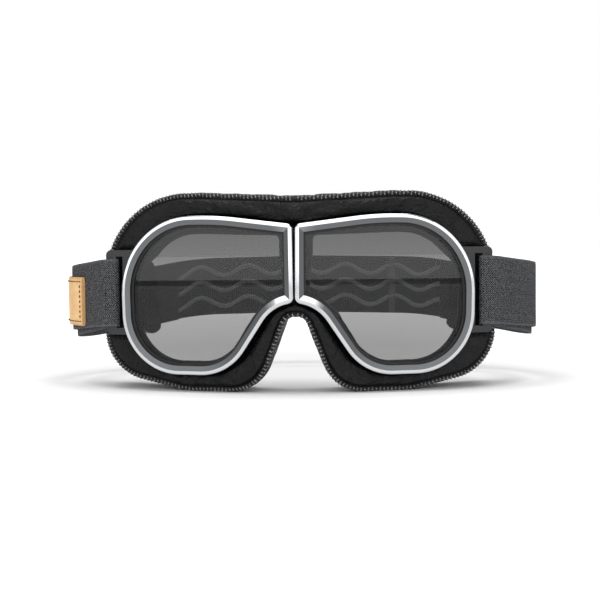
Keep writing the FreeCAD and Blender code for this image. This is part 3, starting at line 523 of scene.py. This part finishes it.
# injection-moulded polycarbonate, smoke tinted darker at the brow, glossy hard coat
smoke, tree, shader = startMaterial("gradientSmokePolycarbonate", Roughness=0.0, IOR=1.49)
height = addNode(tree, "ShaderNodeSeparateXYZ", {0: objectPlace(tree)})
rise = addNode(tree, "ShaderNodeMapRange", {"Value": height.outputs["Z"], "From Min": 0.012, "From Max": 0.082})
shader.inputs["Base Color"].default_value = toLinear("#0E0F10")
density = addNode(tree, "ShaderNodeMapRange",
                  {"Value": rise.outputs[0], "From Min": 0.0, "From Max": 1.0, "To Min": 0.42, "To Max": 0.71})
tree.links.new(density.outputs[0], shader.inputs["Alpha"])
for side in ("left", "right"):
    paint("lens_" + side, smoke)

# ABS eyecup frame, spark-eroded mould texture
frameAbs, tree, shader = startMaterial("sparkTexturedAbs", Roughness=0.5)
erosion = addNode(tree, "ShaderNodeTexNoise", {"Vector": objectPlace(tree), "Scale": 1500.0, "Detail": 2.0})
tree.links.new(colourRamp(tree, erosion.outputs["Fac"], (0.3, "#0A0A0B"), (0.7, "#161617")),
               shader.inputs["Base Color"])
tree.links.new(addBump(tree, erosion.outputs["Fac"], 0.00006, 0.5), shader.inputs["Normal"])
for side in ("left", "right"):
    paint("eyecup_frame_" + side, frameAbs)

# laser-cut steel bracket, powder coated; its cut edges, whose normals turn away from Y, are mixed to a lighter grey
bracketSteel, tree, shader = startMaterial("powderCoatedSteel", Roughness=0.5)
shape = addNode(tree, "ShaderNodeTexCoord")
orange = addNode(tree, "ShaderNodeTexNoise", {"Vector": shape.outputs["Object"], "Scale": 900.0, "Detail": 3.0})
normal = addNode(tree, "ShaderNodeSeparateXYZ", {0: shape.outputs["Normal"]})
across = addNode(tree, "ShaderNodeMath", {0: normal.outputs["Y"]}, operation="ABSOLUTE")
edges = addNode(tree, "ShaderNodeMapRange", {"Value": across.outputs[0], "From Min": 0.8, "From Max": 0.5})
coat = colourRamp(tree, orange.outputs["Fac"], (0.3, "#121314"), (0.7, "#1E1F20"))
coated = addNode(tree, "ShaderNodeMix", {0: edges.outputs[0], 6: coat}, data_type="RGBA")
coated.inputs[7].default_value = toLinear("#8C8D8F")
tree.links.new(coated.outputs[2], shader.inputs["Base Color"])
tree.links.new(addBump(tree, orange.outputs["Fac"], 0.00008, 0.4), shader.inputs["Normal"])
for side in ("left", "right"):
    paint("strap_bracket_" + side, bracketSteel)

# turned stainless rivets and hinge pin: fine lathe lines
turned, tree, shader = startMaterial("turnedStainlessSteel", Metallic=1.0)
lathe = addNode(tree, "ShaderNodeTexWave", {"Vector": objectPlace(tree), "Scale": 900.0, "Distortion": 0.4},
                bands_direction="Z")
shader.inputs["Base Color"].default_value = toLinear("#8E9092")
tree.links.new(addNode(tree, "ShaderNodeMapRange",
                       {"Value": lathe.outputs["Fac"], "To Min": 0.24, "To Max": 0.38}).outputs[0],
               shader.inputs["Roughness"])
for node in ("bracket_rivets_left", "bracket_rivets_right", "hinge_pin"):
    paint(node, turned)

# acetal slider, polished mould: black, glossy, faint flow lines
acetal, tree, shader = startMaterial("mouldedAcetal")
flow = addNode(tree, "ShaderNodeTexNoise", {"Vector": objectPlace(tree), "Scale": 300.0, "Detail": 5.0})
tree.links.new(colourRamp(tree, flow.outputs["Fac"], (0.3, "#0E0E0F"), (0.7, "#1C1C1E")),
               shader.inputs["Base Color"])
tree.links.new(addNode(tree, "ShaderNodeMapRange",
                       {"Value": flow.outputs["Fac"], "To Min": 0.18, "To Max": 0.34}).outputs[0],
               shader.inputs["Roughness"])
for side in ("left", "right"):
    paint("strap_slider_" + side, acetal)

# braided elastic webbing, charcoal: a zigzag face with ribs 1.1 mm apart, drawn a little coarser than
# the real 0.8 mm so that it shows, and a paler selvedge thread along both edges
# spacing of the yarns, in metres
yarns = {"zigzag": 0.0026, "warp": 0.0011, "weft": 0.00087, "weftShare": 0.35, "edgeFrom": 0.0152,
         "edgeTo": 0.0157}


def wovenElastic(name, dark, light, zigzag):
    material, tree, shader = startMaterial(name, Roughness=0.9, Specular_IOR_Level=0.25)
    cloth = addNode(tree, "ShaderNodeSeparateXYZ",
                    {0: addNode(tree, "ShaderNodeUVMap", uv_map="weave").outputs[0]})
    turn = addNode(tree, "ShaderNodeMath", {0: cloth.outputs["Y"], 1: yarns["zigzag"]}, operation="PINGPONG")
    bent = addNode(tree, "ShaderNodeMath", {0: turn.outputs[0], 1: zigzag, 2: cloth.outputs["X"]},
                   operation="MULTIPLY_ADD")
    warp = addNode(tree, "ShaderNodeMath", {0: bent.outputs[0], 1: 2 * math.pi / yarns["warp"]},
                   operation="MULTIPLY")
    warpWave = addNode(tree, "ShaderNodeMath", {0: warp.outputs[0]}, operation="SINE")
    weft = addNode(tree, "ShaderNodeMath", {0: cloth.outputs["Y"], 1: 2 * math.pi / yarns["weft"]},
                   operation="MULTIPLY")
    weftWave = addNode(tree, "ShaderNodeMath", {0: weft.outputs[0]}, operation="SINE")
    weave = addNode(tree, "ShaderNodeMath",
                    {0: weftWave.outputs[0], 1: yarns["weftShare"], 2: warpWave.outputs[0]},
                    operation="MULTIPLY_ADD")
    fuzz = addNode(tree, "ShaderNodeTexNoise", {"Vector": objectPlace(tree), "Scale": 1300.0, "Detail": 3.0})
    shade = addNode(tree, "ShaderNodeMath", {0: weave.outputs[0], 1: 0.18, 2: fuzz.outputs["Fac"]},
                    operation="MULTIPLY_ADD")
    yarn = colourRamp(tree, shade.outputs[0], (0.36, dark), (0.68, light))
    fromMiddle = addNode(tree, "ShaderNodeMath", {0: cloth.outputs["Y"], 1: 0.0165}, operation="SUBTRACT")
    edge = addNode(tree, "ShaderNodeMath", {0: fromMiddle.outputs[0]}, operation="ABSOLUTE")
    selvedge = addNode(tree, "ShaderNodeMapRange",
                       {"Value": edge.outputs[0], "From Min": yarns["edgeFrom"], "From Max": yarns["edgeTo"],
                        "To Max": 0.5})
    edged = addNode(tree, "ShaderNodeMix", {0: selvedge.outputs[0], 6: yarn}, data_type="RGBA")
    edged.inputs[7].default_value = toLinear("#5C5D60")
    tree.links.new(edged.outputs[2], shader.inputs["Base Color"])
    tree.links.new(addBump(tree, weave.outputs[0], 0.00016, 0.7), shader.inputs["Normal"])
    return material


elasticFace = wovenElastic("zigzagElasticWebbing", "#050506", "#606164", 1.0)
elasticBack = wovenElastic("ribbedElasticBack", "#101112", "#5E5F62", 0.0)

# vegetable-tanned leather, natural tan: smooth, mottled, darker where handled at the rim
tanLeather, tree, shader = startMaterial("vegetableTannedLeather", Roughness=0.6)
place = objectPlace(tree)
hide = addNode(tree, "ShaderNodeTexNoise", {"Vector": place, "Scale": 150.0, "Detail": 6.0, "Roughness": 0.6})
pores = addNode(tree, "ShaderNodeTexNoise", {"Vector": place, "Scale": 1700.0, "Detail": 3.0})
tone = colourRamp(tree, hide.outputs["Fac"], (0.28, "#D6A468"), (0.75, "#EFCB96"))
rim = addNode(tree, "ShaderNodeAttribute", attribute_name="wear")
handled = addNode(tree, "ShaderNodeMix", {0: rim.outputs["Fac"], 6: tone}, data_type="RGBA")
handled.inputs[7].default_value = toLinear("#A8763F")
tree.links.new(handled.outputs[2], shader.inputs["Base Color"])
tree.links.new(addBump(tree, pores.outputs["Fac"], 0.00012, 0.5), shader.inputs["Normal"])

# waxed linen thread, dark brown
linen, tree, shader = startMaterial("waxedLinenThread", Roughness=0.55)
twist = addNode(tree, "ShaderNodeTexNoise", {"Vector": objectPlace(tree), "Scale": 1800.0, "Detail": 2.0})
tree.links.new(colourRamp(tree, twist.outputs["Fac"], (0.3, "#3A2414"), (0.75, "#6B4628")),
               shader.inputs["Base Color"])

# silicone beads printed on the strap so that it grips: smooth, slightly clear grey
silicone, tree, shader = startMaterial("printedSilicone", Roughness=0.28)
cloud = addNode(tree, "ShaderNodeTexNoise", {"Vector": objectPlace(tree), "Scale": 400.0, "Detail": 3.0})
tree.links.new(colourRamp(tree, cloud.outputs["Fac"], (0.3, "#7E7F81"), (0.7, "#9A9B9D")),
               shader.inputs["Base Color"])
print("the materials are mixed")

paddedLeather.data.materials.append(leather)
paddedLeather.data.materials.append(fleece)


def softenPad(pad):
    # the foam pushes the leather out between the seams: cloth under pressure, its seams pinned and
    # how far any point may move capped
    still = np.array([v.co for v in paddedLeather.data.vertices])
    held = paddedLeather.vertex_groups.new(name="seams")
    kept = np.zeros(len(paddedLeather.data.vertices), np.int32)
    paddedLeather.data.attributes["section"].data.foreach_get("value", kept)
    seams = [i for i, j in enumerate(kept) if j <= 7 or 16 <= j <= 30 or 40 <= j <= 43 or j >= 54]
    held.add(seams, 1.0, "REPLACE")
    cloth = paddedLeather.modifiers.new("puff", "CLOTH")
    cloth.settings.vertex_group_mass = "seams"
    cloth.settings.use_pressure = True
    cloth.settings.uniform_pressure_force = pad["pressure"]
    cloth.settings.effector_weights.gravity = 0
    cloth.settings.quality = 4
    cloth.settings.shrink_min = -0.03
    cloth.collision_settings.use_collision = False
    scene = bpy.context.scene
    for frameNumber in range(1, pad["frames"] + 1):
        scene.frame_set(frameNumber)
    bpy.context.view_layer.objects.active = paddedLeather
    bpy.ops.object.modifier_apply(modifier="puff")
    scene.frame_set(1)
    moved = np.array([v.co for v in paddedLeather.data.vertices])
    step = moved - still
    far = np.linalg.norm(step, axis=1)
    limit = pad["cap"] * mm
    step *= np.minimum(1.0, limit * np.tanh(far / limit) / np.maximum(far, 1e-9))[:, None]
    print("leather puffed by at most", round(float(far.max()) / mm, 2), "mm")
    return still + step


puffed = softenPad(pad)
paddedLeather.data.vertices.foreach_set("co", puffed.astype(np.float32).ravel())
for vertex in paddedLeather.data.vertices:
    # small puckers where the leather is drawn in by the stitches
    vertex.co += vertex.normal * 0.16 * mm * noise.noise(vertex.co * 260)
kept = np.zeros(len(paddedLeather.data.vertices), np.int32)
paddedLeather.data.attributes["section"].data.foreach_get("value", kept)
rubbing = np.where((kept >= 19) & (kept <= 27), 0.9, 0.0) + np.where((kept == 18) | (kept == 28), 0.25, 0.0)
paddedLeather.data.attributes.new("wear", "FLOAT", "POINT").data.foreach_set("value",
        rubbing.astype(np.float32))
bpy.context.view_layer.objects.active = paddedLeather
smooth = paddedLeather.modifiers.new("smooth", "SUBSURF")
smooth.levels = smooth.render_levels = 1
bpy.ops.object.modifier_apply(modifier="smooth")
for vertex in paddedLeather.data.vertices:
    vertex.co.z = max(vertex.co.z, 0.0)  # flat where it stands
for polygon in paddedLeather.data.polygons:
    polygon.use_smooth = True
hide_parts("leather_cover_left", "leather_cover_right", "foam_core_left", "foam_core_right",
            "face_lining_left", "face_lining_right", "bridge_pad")
print("the padded leather is shaped")

# whip stitches over the leather's edge: one bent stitch, copied along the seam

stitch = {"pitch": 1.85, "thread": 0.32, "arc": 1.0, "slant": 14}


def copyPiece(piece):
    twin = piece.copy()
    twin.data = piece.data.copy()
    bpy.context.scene.collection.objects.link(twin)
    return twin


def joinPieces(pieces, name):
    if len(pieces) > 30:  # in batches, because one long join is slow
        pieces = [joinPieces(pieces[i:i + 24], name) for i in range(0, len(pieces), 24)]
    bpy.ops.object.select_all(action="DESELECT")
    for piece in pieces:
        piece.select_set(True)
    bpy.context.view_layer.objects.active = pieces[0]
    bpy.ops.object.join()
    joined = bpy.context.object
    joined.name = name
    bpy.ops.object.transform_apply(location=True, rotation=True, scale=True)
    bpy.ops.object.select_all(action="DESELECT")
    return joined


def bentStitch(radius, thread):
    # half a small ring, open towards +Y: the part of a stitch that shows over the edge
    bpy.ops.mesh.primitive_torus_add(major_radius=radius * mm, minor_radius=thread * mm, major_segments=12,
                                     minor_segments=6)
    piece = bpy.context.object
    bpy.ops.object.mode_set(mode="EDIT")
    bpy.ops.mesh.select_all(action="SELECT")
    bpy.ops.mesh.bisect(plane_co=(0, 0.3 * radius * mm, 0), plane_no=(0, 1, 0), clear_outer=True, use_fill=True)
    bpy.ops.object.mode_set(mode="OBJECT")
    for polygon in piece.data.polygons:
        polygon.use_smooth = len(polygon.vertices) == 4
    bpy.ops.object.select_all(action="DESELECT")
    return piece


firstStitch = bentStitch(stitch["arc"], stitch["thread"])
outerRows = [(place, inward) for place, inward, middle in stations if not middle]
path = np.array([place for place, inward in outerRows])
turns = np.array([inward for place, inward in outerRows])
along = np.concatenate([[0], np.cumsum(np.linalg.norm(np.diff(path, axis=0), axis=1))])
stitches = []
for k in range(int(along[-1] / stitch["pitch"])):
    at = (k + 0.5) * stitch["pitch"]
    x, z = (np.interp(at, along, path[:, i]) for i in (0, 1))
    inX, inZ = (np.interp(at, along, turns[:, i]) for i in (0, 1))
    length = math.hypot(inX, inZ)
    inX, inZ = inX / length, inZ / length
    roll = pad["rollRadius"]
    y = leanY(x, frontDepthAt(x, z))
    for mirror in (1, -1):
        middlePoint = Vector(((x + inX * roll) * mirror, y + originY, z + inZ * roll)) * mm
        inwardWay = Vector((inX * mirror, 0, inZ))
        # in the ring's own frame the opening is +Y; it turns to face inward and back along the frame
        opening = (inwardWay * 0.75 + Vector((0, 0.65, 0))).normalized()
        seam = inwardWay.cross(Vector((0, 1, 0))).normalized()
        ringX = opening.cross(seam).normalized()
        turn = Matrix((ringX, opening, seam)).transposed()
        if turn.determinant() < 0:
            turn = Matrix((-ringX, opening, seam)).transposed()
        lean = Matrix.Rotation(math.radians(stitch["slant"] * mirror), 3, "Y")
        twin = copyPiece(firstStitch)
        twin.matrix_world = Matrix.Translation(middlePoint) @ (turn @ lean).to_4x4()
        stitches.append(twin)
bpy.data.objects.remove(firstStitch)
whipStitches = joinPieces(stitches, "whipStitches")
for vertex in whipStitches.data.vertices:
    vertex.co.z = max(vertex.co.z, 0.0)  # pressed flat where the goggles stand
whipStitches.data.materials.append(thread)
print("the edge is stitched", len(stitches))

# elastic strap: the route of its middle line in mm, outer layer from the slot to the back, and the
# inner layer doubled back from the bracket's bar to the slider

strap = {
    "height": 33.0, "thickness": 1.2, "middle": 47.7, "droop": 9.0, "gap": 0.3, "step": 2.2, "rows": 22,
    "side": (127.0, 68.0), "quarter": (110.0, 106.0), "rear": (68.0, 146.0), "back": (0.0, 151.0),
    "radii": (8.0, 40.0, 40.0, 45.0), "bendEase": 0.98,
}
frontLayer, rearLayer = 5.0 - 0.3 - 0.6, 5.0 + 1.5 + 0.3 + 0.6
layerStep = strap["thickness"] + strap["gap"]
bendRadius = (rearLayer - frontLayer) / 2 * strap["bendEase"]
bendX = 95.0 + strap["gap"] - bendRadius
barEnd = 95.0 + 4.6 + layerStep


def roundedRoute(corners):
    # close points along straight runs and arcs through (point, radius) corners
    points = [np.array(corners[0][0], float)]
    for (before, _), (point, radius), (after, _) in zip(corners, corners[1:], corners[2:]):
        point, before, after = (np.array(p, float) for p in (point, before, after))
        inWay, outWay = point - before, after - point
        inWay, outWay = inWay / np.linalg.norm(inWay), outWay / np.linalg.norm(outWay)
        turn = math.atan2(inWay[0] * outWay[1] - inWay[1] * outWay[0], inWay @ outWay)
        reach = radius * math.tan(abs(turn) / 2)
        left = np.array((-inWay[1], inWay[0])) * (1 if turn > 0 else -1)
        centre = point - inWay * reach + left * radius
        start = point - inWay * reach - centre
        steps = max(6, int(abs(turn) * radius / strap["step"]))
        for k in range(steps + 1):
            c, s = math.cos(turn * k / steps), math.sin(turn * k / steps)
            points.append(centre + np.array((start[0] * c - start[1] * s, start[0] * s + start[1] * c)))
    points.append(np.array(corners[-1][0], float))
    filled = [points[0]]
    for a, b in zip(points, points[1:]):
        pieces = max(1, round(np.linalg.norm(b - a) / strap["step"]))
        filled += [a + (b - a) * k / pieces for k in range(1, pieces + 1)]
    return np.array([p for p,
                     q in zip(filled, filled[1:] + [None]) if q is None or np.linalg.norm(q - p) > 1e-4])


def stepInward(before, point, after, step):
    before, point, after = (np.array(p, float) for p in (before, point, after))
    first, second = (point - before) / np.linalg.norm(point - before), (after - point) / np.linalg.norm(after - point)
    half = math.acos(np.clip(first @ second, -1, 1)) / 2
    left = np.array((-first[1] - second[1], first[0] + second[0]))
    return point + left / np.linalg.norm(left) * step / math.cos(half)


turnOut = panePoint(barEnd, frontLayer)
innerSide = stepInward(turnOut, strap["side"], strap["quarter"], layerStep)
innerQuarter = stepInward(strap["side"], strap["quarter"], strap["rear"], layerStep)
innerRear = stepInward(strap["quarter"], strap["rear"], strap["back"], layerStep)
barRadius, sideRadius, quarterRadius, rearRadius = strap["radii"]
outerCorners = [(turnOut, barRadius), (strap["side"], sideRadius), (strap["quarter"], quarterRadius),
                (strap["rear"], rearRadius), (strap["back"], 0)]
innerStart = innerRear + (innerQuarter - innerRear) * 0.2
loopRoute = roundedRoute([
    (innerStart, 0), (innerQuarter, quarterRadius - layerStep), (innerSide, sideRadius - layerStep),
    (panePoint(barEnd - layerStep, rearLayer), barRadius), (panePoint(bendX, rearLayer), bendRadius),
    (panePoint(bendX, frontLayer), bendRadius)] + outerCorners)
slotY = panePoint(bendX, frontLayer)[1]


def droopAt(y, outer=False):
    # how far the strap hangs below the brackets; the outer layer, held by the label, hangs less
    share = min(max((y - slotY) / (strap["back"][1] - slotY), 0.0), 1.0)
    drop = strap["droop"] * math.sin(math.pi * share)
    return drop * (0.55 + 0.45 * smoothStep(share, 0.35, 0.68)) if outer else drop


def routeFrame(points):
    # lengths and left-hand directions along a route
    along = np.concatenate([[0], np.cumsum(np.linalg.norm(np.diff(points, axis=0), axis=1))])
    run = np.gradient(points, axis=0)
    run /= np.linalg.norm(run, axis=1)[:, None]
    return along, np.column_stack([-run[:, 1], run[:, 0]])


def makeBand(name, points, drops, near, far, low, high, rows, ease=0.12):
    # a band of cloth on edge along a route, with soft edges and its weave laid out in metres
    along, left = routeFrame(points)
    # round the section: outer face upward, inner face downward
    heights = [low + (high - low) * k / rows for k in range(rows + 1)]
    section = [(near + ease * (k in (0, rows)), h) for k, h in enumerate(heights)]
    section += [(far - ease * (k in (0, rows)), h) for k, h in reversed(list(enumerate(heights)))]
    size = len(section)
    vertices, faces = [], []
    for (x, y), (leftX, leftY), drop in zip(points, left, drops):
        vertices += [((x + leftX * o) * mm, (y + leftY * o + originY) * mm, (h - drop) * mm) for o,
                     h in section]
    for i in range(len(points) - 1):
        for j in range(size):
            k = (j + 1) % size
            faces.append((i * size + j, i * size + k, (i + 1) * size + k, (i + 1) * size + j))
    for end in (0, len(points) - 1):
        base = end * size
        for k in range(rows):
            quad = (base + k, base + k + 1, base + size - 2 - k, base + size - 1 - k)
            faces.append(quad if end else quad[::-1])
    mesh = bpy.data.meshes.new(name)
    mesh.from_pydata(vertices, [], faces)
    layer = mesh.uv_layers.new(name="weave")
    for loop in mesh.loops:
        i, j = divmod(loop.vertex_index, size)
        layer.data[loop.index].uv = (along[i] * mm, (section[j][1] - low) * mm)
    piece = bpy.data.objects.new(name, mesh)
    bpy.context.scene.collection.objects.link(piece)
    bpy.context.view_layer.objects.active = piece
    piece.select_set(True)
    bpy.ops.object.mode_set(mode="EDIT")
    bpy.ops.mesh.select_all(action="SELECT")
    bpy.ops.mesh.normals_make_consistent(inside=False)
    bpy.ops.object.mode_set(mode="OBJECT")
    bpy.ops.object.shade_smooth_by_angle(angle=math.radians(40))
    piece.select_set(False)
    return piece, size


# the whole strap, from the left slider round the left bar, the back and the right bar
mirroredRoute = loopRoute[::-1] * np.array((-1, 1))
wholeRoute = np.vstack([loopRoute, mirroredRoute[1:]])
halfThick = strap["thickness"] / 2
low, high = strap["middle"] - strap["height"] / 2, strap["middle"] + strap["height"] / 2
hairpin = int(np.argmin(np.linalg.norm(loopRoute - np.array(panePoint(bendX - bendRadius,
        (frontLayer + rearLayer) / 2)), axis=1)))
loopDrops = [droopAt(y, i > hairpin) for i, (x, y) in enumerate(loopRoute)]
elasticStrap, sectionCount = makeBand("elasticStrap", wholeRoute, loopDrops + loopDrops[::-1][1:], -halfThick,
                                      halfThick, low, high, strap["rows"])
elasticStrap.data.materials.append(elasticFace)
elasticStrap.data.materials.append(elasticBack)
for polygon in elasticStrap.data.polygons:
    inside = sum(v % sectionCount > strap["rows"] for v in polygon.vertices)
    polygon.material_index = 1 if inside > 2 else 0
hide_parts("elastic_strap_left", "elastic_strap_right", "elastic_strap_back")
print("the strap is woven")

# wavy silicone beads on the inside of the strap's back

grip = {"width": 2.4, "height": 0.55, "spacing": 9.0, "wave": 2.7, "period": 28.5, "reach": 84.0, "step": 1.2}
backHalf = roundedRoute([(strap["quarter"], 0), (strap["rear"], rearRadius), (strap["back"], 0)])
backRoute = np.vstack([backHalf, (backHalf[::-1] * np.array((-1, 1)))[1:]])
backAlong, _ = routeFrame(backRoute)
fine = np.linspace(0, backAlong[-1], int(backAlong[-1] / grip["step"]))
backRoute = np.column_stack([np.interp(fine, backAlong, backRoute[:, i]) for i in (0, 1)])
backAlong, backLeft = routeFrame(backRoute)
beads = []
profile = [(-0.5, 0.0), (-0.42, 0.55), (-0.2, 0.95), (0.2, 0.95), (0.42, 0.55), (0.5, 0.0)]
for row in (-1, 0, 1):
    vertices, faces = [], []
    kept = [i for i in range(len(backRoute)) if abs(backRoute[i][0]) <= grip["reach"]]
    for i in kept:
        x, y = backRoute[i]
        phase = 2 * math.pi * (backAlong[i] - backAlong[-1] / 2) / grip["period"]
        z = strap["middle"] + row * grip["spacing"] + grip["wave"] * math.sin(phase) - droopAt(y)
        slope = grip["wave"] * 2 * math.pi / grip["period"] * math.cos(phase)
        stretch = math.hypot(1, slope)
        taper = min(1.0, 0.35 + 0.65 * min(i - kept[0], kept[-1] - i) / 3)
        for across, up in profile:
            out = halfThick - 0.02 + up * grip["height"] * taper
            vertices.append(((x + backLeft[i][0] * out) * mm, (y + backLeft[i][1] * out + originY) * mm,
                             (z + across * grip["width"] * stretch * taper) * mm))
    size = len(profile)
    for i in range(len(kept) - 1):
        for j in range(size):
            k = (j + 1) % size
            faces.append((i * size + j, i * size + k, (i + 1) * size + k, (i + 1) * size + j))
    faces += [tuple(range(size))[::-1], tuple(range((len(kept) - 1) * size, len(kept) * size))]
    mesh = bpy.data.meshes.new("bead")
    mesh.from_pydata(vertices, [], faces)
    bead = bpy.data.objects.new("bead", mesh)
    bpy.context.scene.collection.objects.link(bead)
    beads.append(bead)
gripLines = joinPieces(beads, "gripLines")
gripLines.select_set(True)
bpy.ops.object.mode_set(mode="EDIT")
bpy.ops.mesh.select_all(action="SELECT")
bpy.ops.mesh.normals_make_consistent(inside=False)
bpy.ops.object.mode_set(mode="OBJECT")
bpy.ops.object.shade_smooth_by_angle(angle=math.radians(50))
gripLines.select_set(False)
gripLines.data.materials.append(silicone)

# sewn join across the inside of the strap, where its two ends meet
joint = {"middle": 48.0, "width": 3.6, "thickness": 0.45}
jointRoute = np.array([p for p in backRoute if abs(p[0] - joint["middle"]) < joint["width"] / 2 + 0.7])
strapJoint, _ = makeBand("strapJoint", jointRoute, [droopAt(y) for x, y in jointRoute], halfThick - 0.02,
                         halfThick + joint["thickness"], low + 0.6, high - 0.6, 16, ease=0.1)
strapJoint.data.materials.append(thread)
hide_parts("silicone_grips")
print("the grip lines are laid")

# tan leather label round the strap's left side, with a stitched border

label = {"start": 25.0, "length": 34.0, "height": 24.5, "middle": 42.7, "thickness": 1.8, "inset": 2.2,
         "pitch": 2.3, "thread": 0.3}
outerRoute = roundedRoute([(panePoint(bendX, frontLayer), 0)] + outerCorners)
outerAlong, _ = routeFrame(outerRoute)
labelStops = np.linspace(label["start"], label["start"] + label["length"], 26)
labelRoute = np.column_stack([np.interp(labelStops, outerAlong, outerRoute[:, i]) for i in (0,
        1)]) * np.array((-1, 1))
labelRoute = labelRoute[::-1]
labelLow = label["middle"] - label["height"] / 2
outFace = -halfThick - 0.1
strapLabel, labelSection = makeBand("strapLabel", labelRoute, [0.0] * len(labelRoute), outFace - label["thickness"],
                                    outFace,
                                    labelLow, labelLow + label["height"], 14, ease=0.35)
rubbing = []
for i in range(len(strapLabel.data.vertices)):
    station, j = divmod(i, labelSection)
    level = min(j, labelSection - 1 - j)
    rubbing.append(0.55 if station in (0, len(labelRoute) - 1) or level in (0, 14) else 0.0)
strapLabel.data.attributes.new("wear", "FLOAT", "POINT").data.foreach_set("value", rubbing)
strapLabel.data.materials.append(tanLeather)
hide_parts("strap_label")
labelAlong, labelLeft = routeFrame(labelRoute)
borderStitches = []
firstStitch = bentStitch(0.62, label["thread"])


def labelPlace(at, z):
    x, y = (np.interp(at, labelAlong, labelRoute[:, i]) for i in (0, 1))
    leftX, leftY = (np.interp(at, labelAlong, labelLeft[:, i]) for i in (0, 1))
    out = outFace - label["thickness"] + 0.32
    return Vector((x + leftX * out, y + leftY * out + originY, z)) * mm, Vector((leftX, leftY, 0)).normalized()


spots = []
inset, span, tall = label["inset"], labelAlong[-1], label["height"]
count = int((span - 2 * inset) / label["pitch"])
for k in range(count + 1):
    at = inset + (span - 2 * inset) * k / count
    spots += [(at, labelLow + inset, False), (at, labelLow + tall - inset, False)]
count = int((tall - 2 * inset) / label["pitch"])
for k in range(1, count):
    z = labelLow + inset + (tall - 2 * inset) * k / count
    spots += [(inset, z, True), (span - inset, z, True)]
for at, z, upright in spots:
    place, inwardWay = labelPlace(at, z)
    run = Vector((0, 0, 1)) if upright else inwardWay.cross(Vector((0, 0, 1)))
    turn = Matrix((run, inwardWay, run.cross(inwardWay))).transposed()
    twin = copyPiece(firstStitch)
    twin.matrix_world = Matrix.Translation(place) @ turn.to_4x4()
    borderStitches.append(twin)
bpy.data.objects.remove(firstStitch)
labelStitches = joinPieces(borderStitches, "labelStitches")
labelStitches.data.materials.append(linen)
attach(strapLabel, "left_half")
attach(labelStitches, "left_half")
print("the label is sewn")

for piece in (elasticStrap, gripLines, strapJoint):
    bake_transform(piece)
for piece in (paddedLeather, whipStitches):
    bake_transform(piece)

size = {"cad": [list(v) for v in cadBox], "visual": [list(v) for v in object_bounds()]}
